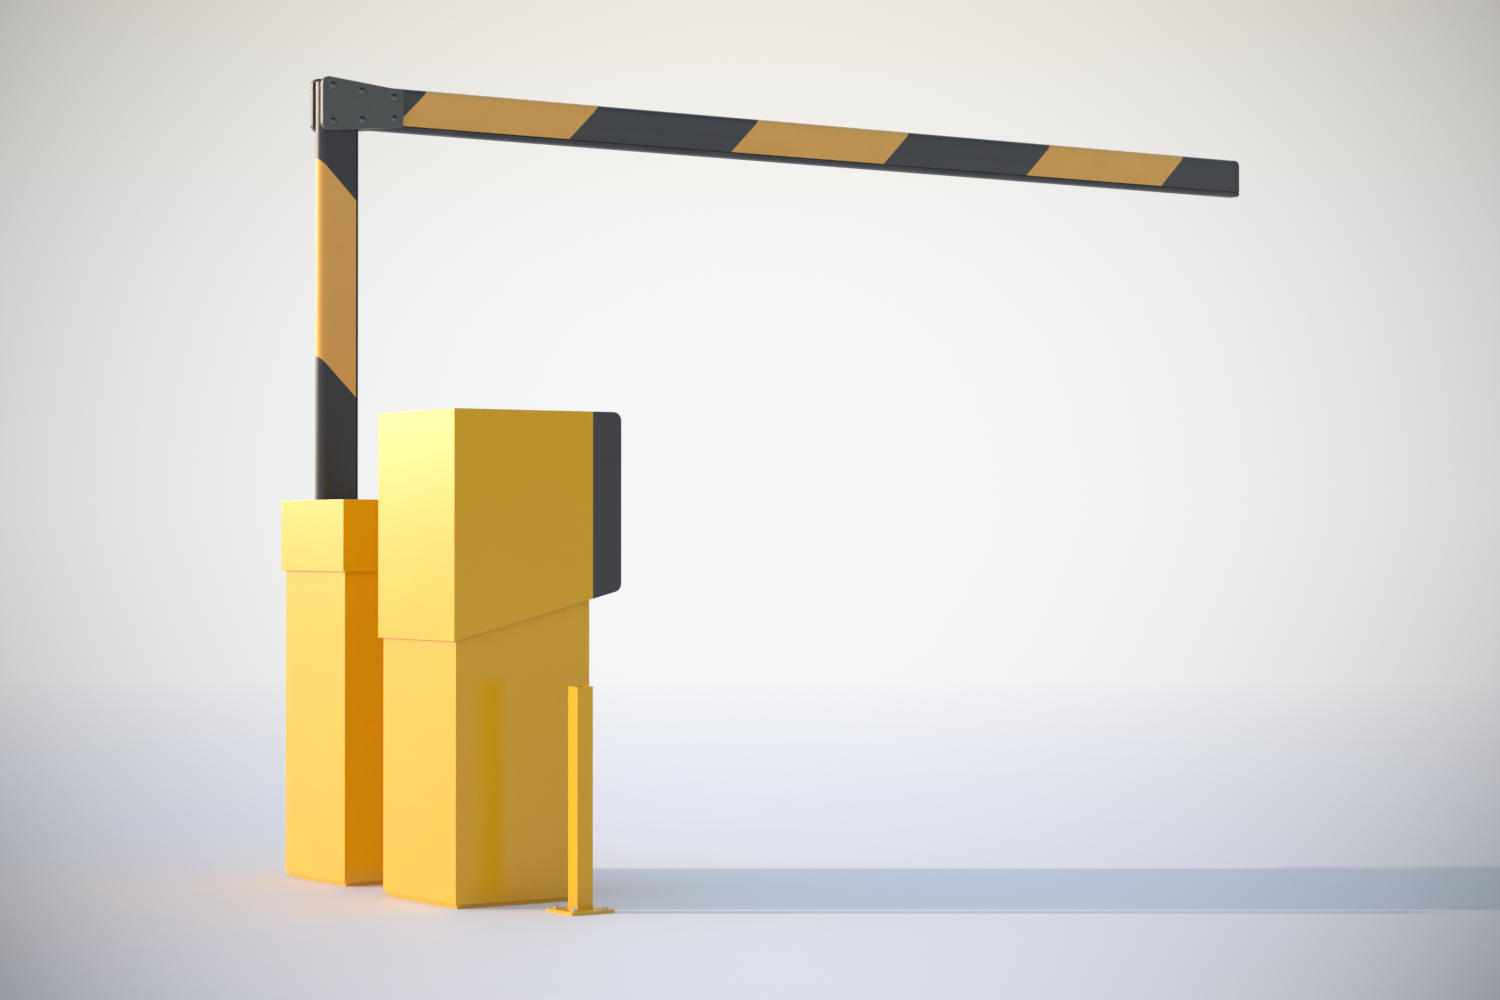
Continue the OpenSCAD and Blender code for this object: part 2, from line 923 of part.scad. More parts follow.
// What lies outside the inner boom's tip, whose lower corner is round about the knuckle
module beyond_tip() {
    difference() {
        box([boom_len, -boom_t, -2 * tip_r], [boom_len + 2 * tip_r, boom_t, 0]);
        translate([boom_len, -2 * boom_t, 0])
            rotate([-90, 0, 0])
                cylinder(h = 4 * boom_t, r = tip_r, $fn = 96);
    }
}

// The seat of the knuckle bush, across the inner boom
module bush_bore() {
    translate([boom_len, -boom_t, 0])
        rotate([-90, 0, 0])
            cylinder(h = 2 * boom_t, r = bush_r + fit);
}

module boom_tube() {
    color(dark)
        in_boom()
            difference() {
                bar_x(-tail_len, tail_len + boom_len + tip_r)
                    tube_section(inner_low);
                beyond_tip();
                bush_bore();
            }
}

module boom_bumper() {
    from = 95;
    color(rubber)
        in_boom()
            bar_x(from, boom_len - tip_r - 4 - from)
                bumper_section(inner_low, -inner_depth);
}

// A film on the profile between two slanted edges, given at the profile's upper edge
module film(from, to, profile_base) {
    low = profile_base + 0.5;
    high = profile_high + 2;
    intersection() {
        bar_x(from - 2 * boom_h, to - from + 3 * boom_h)
            difference() {
                profile_outline(film_t, profile_base);
                profile_outline(0, profile_base);
            }
        translate([0, boom_t, 0])
            rotate([90, 0, 0])
                linear_extrude(2 * boom_t)
                    polygon([
                        [from + low - profile_high, low], [to + low - profile_high, low],
                        [to + high - profile_high, high], [from + high - profile_high, high],
                    ]);
    }
}

module boom_stripe() {
    color(yellow)
        in_boom()
            film(boom_stripe_from, boom_stripe_to, inner_low);
}

module boom_tip_insert() {
    depth = 70;
    color(steel)
        in_boom()
            difference() {
                bar_x(boom_len - depth, depth + tip_r - 1)
                    hollow_section(inner_low, fit);
                beyond_tip();
                bush_bore();
            }
}

module boom_tail_cap() {
    lip = 4;
    color(rubber)
        in_boom() {
            bar_x(-tail_len - lip, lip)
                profile_outline(0, inner_low);
            bar_x(-tail_len - 1, 16)
                hollow_section(inner_low, fit);
        }
}

module knuckle_bush() {
    at = [hinge_x, knuckle_z];
    color(bronze)
        difference() {
            pin_y(at, bush_r, boom_front, boom_back);
            pin_y(at, knuckle_pin_r + run, boom_front - 1, boom_back + 1);
        }
}

module boom_hub() {
    color(dark)
        difference() {
            union() {
                pin_y(shaft_at, 40, hood_half + 4, shaft_end_y + 1);
                plate_y(shaft_end_y + 1, boom_front - shaft_end_y - 1)
                    translate(shaft_at)
                        rounded(160, 150, 12);
            }
            pin_y(shaft_at, shaft_r + fit, hood_half, shaft_end_y + 0.5);
            clamp_bolt_places()
                pin_y([0, 0], 5.5, shaft_end_y, boom_front + 1);
        }
}

module clamp_bolt_places() {
    for (x = [-1, 1], z = [-1, 1])
        translate([shaft_at[0] + x * 68, 0, shaft_at[1] + z * 60])
            children();
}

module clamp_plate() {
    color(dark)
        difference() {
            plate_y(boom_back, 8)
                translate(shaft_at)
                    rounded(160, 150, 12);
            clamp_bolt_places()
                pin_y([0, 0], 5.5, boom_back - 1, boom_back + 9);
        }
}

module clamp_bolts() {
    color(zinc)
        clamp_bolt_places() {
            translate([0, shaft_end_y + 1, 0])
                rotate([90, 0, 0])
                    hexagon(17, 6);
            pin_y([0, 0], 5.5 - fit, shaft_end_y + 0.5, boom_back + 12);
            translate([0, boom_back + 8, 0])
                rotate([-90, 0, 0])
                    hexagon(17, 5);
        }
}

// ---- Knuckle ----

module knuckle_outline() {
    back_r = 20;
    front_r = 5;
    corners = [
        [-plate_back + back_r, plate_half_back - back_r],
        [plate_front - front_r, plate_half_front - front_r],
        [plate_front - front_r, front_r - plate_half_front],
        [-plate_back + back_r, back_r - plate_half_back],
    ];
    translate([hinge_x, knuckle_z])
        polygon(belt_points(corners, [back_r, front_r, front_r, back_r]));
}

// Places of the screws that mirror each other above and below the hinge
module above_and_below(at) {
    for (side = [-1, 1])
        translate([hinge_x + at[0], 0, knuckle_z + side * at[1]])
            children();
}

// A knuckle plate whose outer face is at y = outer, and whose inner face looks along side * Y
module knuckle_plate(outer, side) {
    relieved = plate_t;
    full = plate_t + plate_gap;
    translate([0, outer, 0])
        mirror([0, side < 0 ? 1 : 0, 0])
            difference() {
                plate_y(0, full)
                    knuckle_outline();
                box([hinge_x - 200, relieved, knuckle_z - 200],
                    [hinge_x + arm_start - 1, full + 1, knuckle_z + 200]);
                pin_y([hinge_x, knuckle_z], knuckle_pin_r + fit, 2, full + 1);
                for (pad = [back_pad, front_pad])
                    above_and_below(pad[0]) {
                        pin_y([0, 0], screw_r, -1, full + 1);
                        pin_y([0, 0], pad[1], pocket_y, relieved + 0.5);
                    }
                above_and_below(screw_at)
                    pin_y([0, 0], screw_r, -1, full + 1);
            }
}

module front_knuckle_plate() {
    color(dark)
        knuckle_plate(plate_front_y, 1);
}

module back_knuckle_plate() {
    stud_at = [hinge_x + rod_offset, knuckle_z - rod_offset];
    color(dark) {
        knuckle_plate(plate_back_y, -1);
        pin_y(stud_at, rod_pin_r + 4, plate_back_y, rod_y - 0.5);
        pin_y(stud_at, rod_pin_r, plate_back_y - 1, rod_y + rod_t + 1);
        pin_y(stud_at, rod_pin_r + 3, rod_y + rod_t + 0.5, rod_y + rod_t + 3);
    }
}

module knuckle_pin() {
    color(steel)
        pin_y([hinge_x, knuckle_z], knuckle_pin_r, plate_front_y + 2.5, plate_back_y - 2.5);
}

// A domed head on each outer face of the knuckle
module screw_heads() {
    translate([0, plate_front_y, 0])
        rotate([90, 0, 0])
            dome(head_r, head_h);
    translate([0, plate_back_y, 0])
        rotate([-90, 0, 0])
            dome(head_r, head_h);
}

module knuckle_screws() {
    color(dark)
        above_and_below(screw_at) {
            screw_heads();
            pin_y([0, 0], screw_r - fit, plate_front_y - 0.5, plate_back_y + 0.5);
        }
}

// Short screws, one from each side, so that the boom's tip can pass between them
module pad_screws() {
    length = 12;
    color(dark)
        for (pad = [back_pad, front_pad])
            above_and_below(pad[0]) {
                screw_heads();
                pin_y([0, 0], screw_r - fit, plate_front_y - 0.5, plate_front_y + length);
                pin_y([0, 0], screw_r - fit, plate_back_y - length, plate_back_y + 0.5);
            }
}

// A round pad in the plates' pockets, on both sides of the inner boom
module slide_pad(r) {
    bore = 12.1;
    difference() {
        pin_y([0, 0], r - fit, plate_front_y + pocket_y + fit, boom_front - run);
        pin_y([0, 0], screw_r, plate_front_y + pocket_y, plate_front_y + bore);
    }
    difference() {
        pin_y([0, 0], r - fit, boom_back + run, plate_back_y - pocket_y - fit);
        pin_y([0, 0], screw_r, plate_back_y - bore, plate_back_y - pocket_y);
    }
}

module slide_pads() {
    color("#D8D6CC")
        for (pad = [back_pad, front_pad])
            above_and_below(pad[0])
                slide_pad(pad[1]);
}

// ---- Arm: outer section ----

module arm_insert() {
    color(steel)
        difference() {
            in_arm()
                bar_x(arm_start + 2, plate_front - arm_start - 2)
                    hollow_section(profile_low, fit);
            above_and_below(screw_at)
                pin_y([0, 0], screw_r, boom_front, boom_back);
        }
}

module arm_tube() {
    color(dark)
        difference() {
            in_arm()
                bar_x(arm_start, arm_len - cap_t - arm_start)
                    tube_section(profile_low);
            above_and_below(screw_at)
                pin_y([0, 0], screw_r, boom_front - 1, boom_back + 1);
        }
}

module arm_bumper() {
    from = arm_start + 8;
    color(rubber)
        in_arm()
            bar_x(from, arm_len - cap_t - from)
                bumper_section(profile_low, boom_low);
}

module arm_stripes() {
    color(yellow)
        in_arm()
            difference() {
                for (k = [0:2])
                    film(stripe_start + 2 * k * stripe_len,
                        stripe_start + (2 * k + 1) * stripe_len, profile_low);
                box([0, -boom_t, -boom_h], [plate_front + 0.5, boom_t, boom_h]);
            }
}

// The end cap's outline: the arm's own, with the gap over the bumper drawn as a shallow groove
module cap_section() {
    groove = 2;
    profile_outline(0, profile_low);
    translate([groove - boom_t / 2, profile_low - bumper_gap_h - 1])
        square([boom_t - 2 * groove, bumper_gap_h + 2]);
    bumper_body(profile_low, boom_low);
}

module arm_end_cap() {
    plug = 20;
    corner_r = 7;
    tall = profile_high - boom_low;
    color(rubber)
        in_arm() {
            intersection() {
                bar_x(arm_len - cap_t, cap_t)
                    cap_section();
                plate_y(-boom_t, 2 * boom_t)
                    translate([arm_len - tall / 2, (profile_high + boom_low) / 2])
                        rounded(tall, tall, corner_r);
            }
            bar_x(arm_len - cap_t - plug, plug + 1)
                hollow_section(profile_low, fit);
        }
}

// ---- Levelling rod: keeps the arm level ----

module levelling_bracket() {
    at = [hinge_x + rod_offset, shaft_z - rod_offset];
    plate_y0 = rod_y + rod_t + 3;
    foot_y = body_half;
    web_z = 700;
    color(zinc) {
        plate_y(foot_y, bracket_t)
            translate([at[0], web_z])
                rounded(80, 110, 8);
        box([at[0] - 24, foot_y, web_z - 4], [at[0] + 24, plate_y0 + bracket_t, web_z + 4]);
        plate_y(plate_y0, bracket_t) {
            translate(at)
                circle(24);
            translate([at[0] - 24, web_z - 4])
                square([48, at[1] - web_z + 4]);
        }
        translate([at[0] - 3, 0, 0])
            bar_x(0, 6)
                polygon([
                    [foot_y + 1, web_z - 50], [foot_y + 1, web_z], [plate_y0 + 1, web_z],
                    [plate_y0 + 1, web_z - 4],
                ]);
        pin_y(at, rod_pin_r + 3, rod_y - 3, rod_y - 0.5);
        pin_y(at, rod_pin_r, rod_y - 1, plate_y0 + 1);
        pin_y(at, rod_pin_r + 4, rod_y + rod_t + 0.5, plate_y0 + 1);
    }
}

module levelling_rod() {
    low = [hinge_x + rod_offset, shaft_z - rod_offset];
    high = [hinge_x + rod_offset, knuckle_z - rod_offset];
    color(zinc)
        difference() {
            union() {
                for (at = [low, high])
                    pin_y(at, 14, rod_y, rod_y + rod_t);
                translate([low[0], rod_y + rod_t / 2, low[1] + 12])
                    cylinder(h = high[1] - low[1] - 24, r = rod_r);
            }
            for (at = [low, high])
                pin_y(at, rod_pin_r + run, rod_y - 1, rod_y + rod_t + 1);
        }
}

// ---- Ticket terminal ----

// Height of the hood's sloped lower edge at a place along X
function skirt_at(x) = skirt_z + skirt_slope * (x + term_x);

module terminal_base() {
    color(yellow)
        translate([(body_front_x - term_x + term_inset) / 2, terminal_y, 0])
            base_plate(terminal_w - 2 * term_inset - 2 * base_inset,
                body_front_x + term_x - term_inset - 2 * base_inset);
}

module terminal_body() {
    low = [-term_x + term_inset, terminal_y - term_half + term_inset, base_t];
    high = [body_front_x, terminal_y + term_half - term_inset, terminal_h - hood_sheet];
    wall = [sheet, sheet, sheet];
    rim = [rim_w, rim_w, 0];
    color(yellow) {
        difference() {
            box(low, high);
            box(low + wall, high - wall);
            box(low + wall + rim - [0, 0, 2 * sheet], high - wall - rim + [0, 0, 2 * sheet]);
            box([high[0] - sheet - 1, terminal_y - service_half, service_z[0]],
                [high[0] + 1, terminal_y + service_half, service_z[1]]);
        }
        roll_shelf(low[1] + sheet - 1, high[1] - sheet + 1);
    }
}

// Welded shelf between the side walls, with two slotted cheeks for the ticket roll's spindle
module roll_shelf(y0, y1) {
    depth = 110;
    cheek_half = 20;
    cheek_at = 52;
    shelf_z = roll_at[1] - roll_r - 15;
    slot = spindle_r + run;
    box([roll_at[0] - depth / 2, y0, shelf_z], [roll_at[0] + depth / 2, y1, shelf_z + sheet]);
    for (side = [-1, 1])
        difference() {
            plate_y(terminal_y + side * cheek_at - sheet / 2, sheet)
                translate([roll_at[0] - cheek_half, shelf_z + 1])
                    square([2 * cheek_half, roll_at[1] - shelf_z + 15]);
            pin_y(roll_at, slot, terminal_y - roll_r, terminal_y + roll_r);
            box([roll_at[0] - slot, terminal_y - roll_r, roll_at[1]],
                [roll_at[0] + slot, terminal_y + roll_r, roll_at[1] + 20]);
        }
}

module ticket_roll() {
    half = 44;
    color("#E8E6DE") {
        pin_y(roll_at, roll_r, terminal_y - half, terminal_y + half);
        pin_y(roll_at, spindle_r, terminal_y - half - 14, terminal_y + half + 14);
    }
}

module terminal_hood() {
    inside_x = -term_x + hood_sheet;
    low_y = terminal_y - term_half;
    inside_w = terminal_w - 2 * hood_sheet;
    color(yellow)
        difference() {
            plate_y(low_y, terminal_w)
                polygon([
                    [-term_x, skirt_z], [term_x, skirt_at(term_x)],
                    [term_x, terminal_h], [-term_x, terminal_h],
                ]);
            box([inside_x, low_y + hood_sheet, 0],
                [term_x + 1, low_y + hood_sheet + inside_w, terminal_h - hood_sheet]);
        }
}

module fascia_outline(inset) {
    r = 22 - inset;
    x0 = term_x + fascia_gap;
    x1 = front_x - inset;
    lean = atan(skirt_slope);
    z0 = skirt_at(x0) + inset / cos(lean);
    z1 = terminal_h - inset;
    low_centre = [x1 - r, skirt_at(x1 - r) + (inset + r) / cos(lean)];
    high_centre = [x1 - r, z1 - r];
    translate(low_centre)
        circle(r);
    translate(high_centre)
        circle(r);
    polygon([
        [x0 - (inset > 0 ? 1 : 0), z0 - (inset > 0 ? skirt_slope : 0)],
        low_centre + r * [sin(lean), -cos(lean)],
        low_centre + [r, 0],
        high_centre + [r, 0],
        high_centre + [0, r],
        [x0 - (inset > 0 ? 1 : 0), z1],
    ]);
}

// A window through the front panel, about the terminal's middle plane
module panel_window(half, heights, gap) {
    box([panel_x - 1, terminal_y - half + gap, heights[0] + gap],
        [front_x + 1, terminal_y + half - gap, heights[1] - gap]);
}

// A round hole through the front panel
module panel_bore(at, r) {
    pin_x(at, r, panel_x - 1, front_x + 1);
}

module fascia() {
    low_y = terminal_y - term_half;
    hinge_face = terminal_y + term_half;
    color(dark)
        difference() {
            union() {
                difference() {
                    plate_y(low_y, terminal_w)
                        fascia_outline(0);
                    plate_y(low_y + sheet, terminal_w - 2 * sheet)
                        fascia_outline(sheet);
                }
                for (z = fascia_hinge_zs) {
                    translate([fascia_hinge_at[0], fascia_hinge_at[1], z])
                        cylinder(h = 30, r = hinge_r);
                    box([fascia_hinge_at[0], hinge_face - 1, z],
                        [fascia_hinge_at[0] + 26, fascia_hinge_at[1], z + 30]);
                }
            }
            for (z = fascia_hinge_zs)
                knuckle_bore(fascia_hinge_at, z);
            panel_window(display_half, display_z, 0);
            panel_window(mouth_half[0], [slot_z - mouth_half[1], slot_z + mouth_half[1]], 0);
            panel_bore([terminal_y, button_z], button_r + run);
            panel_bore(call_at, call_r + run);
            panel_bore(fascia_lock_at, lock_r + run);
            for (ring = [0:2], k = [0:max(0, 6 * ring - 1)])
                let (a = 60 * k / max(1, ring))
                    panel_bore(speaker_at + speaker_pitch * ring * [cos(a), sin(a)], 2);
        }
}

module display_glass() {
    color("#182028")
        box([panel_x, terminal_y - display_half + fit, display_z[0] + fit],
            [front_x - 1, terminal_y + display_half - fit, display_z[1] - fit]);
}

// The ticket's path, between two places along X
module ticket_path(x0, x1) {
    box([x0, terminal_y - slot_half[0], slot_z - slot_half[1]],
        [x1, terminal_y + slot_half[0], slot_z + slot_half[1]]);
}

module ticket_mouth() {
    flange_t = 6;
    color("#6C7276")
        difference() {
            union() {
                box([panel_x, terminal_y - mouth_half[0] + fit, slot_z - mouth_half[1] + fit],
                    [front_x + 0.5, terminal_y + mouth_half[0] - fit, slot_z + mouth_half[1] - fit]);
                bar_x(front_x, flange_t)
                    translate([terminal_y, slot_z])
                        rounded(2 * mouth_half[0] + 16, 2 * mouth_half[1] + 12, 8);
            }
            ticket_path(panel_x - 1, front_x + flange_t + 1);
        }
}

module ticket_printer() {
    back = term_x + 6;
    half = 60;
    color("#9AA0A4")
        difference() {
            box([back, terminal_y - half, slot_z - 30], [panel_x, terminal_y + half, slot_z + 40]);
            ticket_path(back - 1, panel_x + 1);
        }
}

module push_button(at, r) {
    pin_x(at, r, panel_x - 12, front_x + 6);
    pin_x(at, r + 4, panel_x - 12, panel_x - 7);
    translate([front_x + 6, at[0], at[1]])
        rotate([0, 90, 0])
            dome(r, 1.5);
}

module ticket_button() {
    color("#3C8F4D")
        push_button([terminal_y, button_z], button_r);
}

module call_button() {
    color(zinc)
        push_button(call_at, call_r);
}

module fascia_lock() {
    color(zinc)
        cam_lock(fascia_lock_at, front_x, body_front_x - sheet - 8);
}

// ---- Guard post ----

module guard_post() {
    wall = 3;
    color(yellow)
        translate([post_x, post_y, 0])
            difference() {
                union() {
                    linear_extrude(post_plate_t)
                        square(post_plate_w, center = true);
                    translate([0, 0, post_plate_t - 1])
                        linear_extrude(post_h - post_plate_t + 1)
                            rounded(post_w, post_w, post_corner);
                }
                translate([0, 0, post_plate_t])
                    linear_extrude(post_h)
                        rounded(post_w - 2 * wall, post_w - 2 * wall, post_corner / 2);
                for (x = [-1, 1], y = [-1, 1])
                    translate([x * post_bolt_at, y * post_bolt_at, -1])
                        cylinder(h = post_plate_t + 2, r = post_bolt_r + 0.5);
            }
}

module post_bolts() {
    color(zinc)
        for (x = [-1, 1], y = [-1, 1])
            translate([post_x + x * post_bolt_at, post_y + y * post_bolt_at, 0]) {
                cylinder(h = post_plate_t + 1, r = post_bolt_r);
                translate([0, 0, post_plate_t])
                    cylinder(h = 1.6, r = 2 * post_bolt_r);
                translate([0, 0, post_plate_t + 1.6])
                    hexagon(13, 5.3);
            }
}

base_frame();
cabinet_body();
cabinet_hood();
cabinet_door();
door_lock();
hinge_knuckles();
hinge_pins();
outer_frame_plate();
inner_frame_plate();
frame_bars();
bearing_housings();
bearing_screws();
main_shaft();
shaft_lever();
shaft_seal();
stop_buffers();
balance_spring();
crank();
drive_link();
drive_gear();
motor_pinion();
gearbox();
motor();
control_box();
supply_cable();
boom_hub();
clamp_plate();
clamp_bolts();
boom_tube();
boom_bumper();
boom_stripe();
boom_tip_insert();
knuckle_bush();
knuckle_pin();
front_knuckle_plate();
back_knuckle_plate();
knuckle_screws();
pad_screws();
slide_pads();
boom_tail_cap();
arm_insert();
arm_tube();
arm_bumper();
arm_stripes();
arm_end_cap();
levelling_bracket();
levelling_rod();
terminal_base();
terminal_body();
terminal_hood();
fascia();
display_glass();
ticket_mouth();
ticket_printer();
ticket_roll();
ticket_button();
call_button();
fascia_lock();
guard_post();
post_bolts();
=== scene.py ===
import json
import math

import bmesh
import bpy
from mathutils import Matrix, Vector


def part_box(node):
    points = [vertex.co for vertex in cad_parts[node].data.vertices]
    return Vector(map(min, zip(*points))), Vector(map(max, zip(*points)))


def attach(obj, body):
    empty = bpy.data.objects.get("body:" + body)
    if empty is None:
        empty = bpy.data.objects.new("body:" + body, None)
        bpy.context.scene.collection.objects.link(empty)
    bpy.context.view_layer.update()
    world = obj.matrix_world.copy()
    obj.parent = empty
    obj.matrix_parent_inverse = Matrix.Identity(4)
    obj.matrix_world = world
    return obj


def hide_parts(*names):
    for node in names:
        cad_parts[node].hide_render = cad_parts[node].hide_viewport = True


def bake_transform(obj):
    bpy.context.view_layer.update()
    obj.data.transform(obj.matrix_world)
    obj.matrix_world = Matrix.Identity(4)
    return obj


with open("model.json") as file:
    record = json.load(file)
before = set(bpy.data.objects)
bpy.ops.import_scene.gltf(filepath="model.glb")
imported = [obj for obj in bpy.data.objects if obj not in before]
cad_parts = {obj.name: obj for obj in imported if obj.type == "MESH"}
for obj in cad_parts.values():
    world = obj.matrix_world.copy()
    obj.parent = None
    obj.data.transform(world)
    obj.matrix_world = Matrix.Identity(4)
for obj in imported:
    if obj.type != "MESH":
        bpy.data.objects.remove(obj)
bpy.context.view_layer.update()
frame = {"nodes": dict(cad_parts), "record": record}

# Parking barrier gate: finishes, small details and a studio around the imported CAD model. Metres, +Z up.
# The camera stands towards -X and -Y, and the level arm points towards +X.

SCENE = bpy.context.scene
NODES = frame["nodes"]
MM = 0.001
PLUS_X = (1.0, 0.0, 0.0)
PLUS_Y = (0.0, 1.0, 0.0)

# ---- Camera and light ----

CAMERA_AT = (-4.104, -7.817, 0.900)
CAMERA_HEADING = 34.21  # degrees from +Y towards +X
CAMERA_PITCH = 0.66  # degrees above level
CAMERA_LENS = 79.3  # mm
SENSOR_WIDTH = 36.0  # mm
VIEW_LIMIT = 200.0
HALF_TALL = 0.667  # the picture's half height, where its half width is 1

SUN_HEIGHT = 15.0  # degrees above the floor
SUN_STRENGTH = 3.6
SUN_WIDTH = 0.8  # degrees across, which keeps its shadows crisp
SUN_COLOUR = (1.0, 0.75, 0.54)

SKY_STOPS = (  # height of the way looked in, and the colour there
    (0.0, (0.92, 0.92, 0.93, 1.0)),
    (1.0, (0.05, 0.09, 0.18, 1.0)),
    (0.35, (1.0, 1.0, 1.0, 1.0)),
    (0.62, (0.75, 0.83, 0.95, 1.0)),
    (0.85, (0.13, 0.20, 0.33, 1.0)),
)
SKY_SIDE = (-0.70, 0.71, 0.0)  # where the sky is lighter
SKY_SPAN = (-0.9, 0.9)
SKY_LEVELS = (0.50, 1.0)

PANEL_WAY = (-0.445, 0.865, 0.233)  # a small bright panel that only mirroring surfaces see
PANEL_SPAN = (0.968, 0.994)
PANEL_STRENGTH = 12.5
PANEL_COLOUR = (1.0, 0.81, 0.60, 1.0)
GLARE_SPAN = (0.86, 0.985)
GLARE_STRENGTH = 0.45  # the paler floor and horizon under the panel

OVERHEAD = (0.53, 0.71, 0.92, 1.0)  # soft light from high above, which no surface mirrors
OVERHEAD_SPAN = (0.6, 0.8)

BACKDROP_LOW = (0.93, 0.93, 0.935, 1.0)
BACKDROP_HIGH = (0.93, 0.90, 0.835, 1.0)
BACKDROP_SPAN = (0.06, 0.17)
BLACK = (0.0, 0.0, 0.0, 1.0)
CORNER_LOSS = 0.29  # light lost towards the picture's corners
CORNER_POWER = 1.35
LOW_LOSS = 0.21  # light lost besides towards its lower corners

FLOOR_RADIUS = 60.0
FLOOR_FADE = (1.5, 13.0)  # where the floor fades into the backdrop, from the origin


def srgb(red, green, blue):
    """A screen colour, 0 to 255 a channel, as the linear colour that shaders use."""

    def linear(channel):
        level = channel / 255
        return level / 12.92 if level <= 0.04045 else ((level + 0.055) / 1.055) ** 2.4

    return (linear(red), linear(green), linear(blue), 1.0)


class Graph:
    """Short calls for the shader nodes that the finishes, the floor and the world share."""

    def __init__(self, tree):
        self.tree = tree

    def add(self, kind, **settings):
        node = self.tree.nodes.new("ShaderNode" + kind)
        for name, value in settings.items():
            setattr(node, name, value)
        return node

    def feed(self, socket, source):
        """Links a source socket to this one, or gives it a plain value."""
        if isinstance(source, bpy.types.NodeSocket):
            self.tree.links.new(source, socket)
        else:
            socket.default_value = source

    def maths(self, operation, first, second=0.0, clamp=False):
        node = self.add("Math", operation=operation, use_clamp=clamp)
        self.feed(node.inputs[0], first)
        self.feed(node.inputs[1], second)
        return node.outputs[0]

    def spread(self, value, source, target, smooth=False):
        """Maps value from the source range to the target range, and stops at its ends."""
        node = self.add("MapRange", interpolation_type="SMOOTHSTEP" if smooth else "LINEAR")
        self.feed(node.inputs["Value"], value)
        for name, number in zip(("From Min", "From Max", "To Min", "To Max"), source + target):
            node.inputs[name].default_value = number
        return node.outputs["Result"]

    def mix(self, factor, first, second, blend="MIX"):
        node = self.add("Mix", data_type="RGBA", blend_type=blend)
        self.feed(node.inputs[0], factor)
        self.feed(node.inputs[6], first)
        self.feed(node.inputs[7], second)
        return node.outputs[2]

    def dot(self, vector, direction):
        node = self.add("VectorMath", operation="DOT_PRODUCT")
        self.feed(node.inputs[0], vector)
        self.feed(node.inputs[1], direction)
        return node.outputs["Value"]

    def length(self, vector):
        node = self.add("VectorMath", operation="LENGTH")
        self.feed(node.inputs[0], vector)
        return node.outputs["Value"]

    def split(self, vector):
        node = self.add("SeparateXYZ")
        self.feed(node.inputs[0], vector)
        return node.outputs

    def lights(self, sources):
        """Adds up backgrounds, each given as its colour and its strength."""
        total = None
        for colour, strength in sources:
            back = self.add("Background")
            self.feed(back.inputs["Color"], colour)
            self.feed(back.inputs["Strength"], strength)
            if total is None:
                total = back.outputs[0]
                continue
            both = self.add("AddShader")
            self.tree.links.new(total, both.inputs[0])
            self.tree.links.new(back.outputs[0], both.inputs[1])
            total = both.outputs[0]
        return total

    def blend_shaders(self, factor, first, second):
        node = self.add("MixShader")
        self.feed(node.inputs[0], factor)
        self.tree.links.new(first, node.inputs[1])
        self.tree.links.new(second, node.inputs[2])
        return node.outputs[0]


NOISE_SPAN = (0.25, 0.75)  # where nearly all values of a noise lie


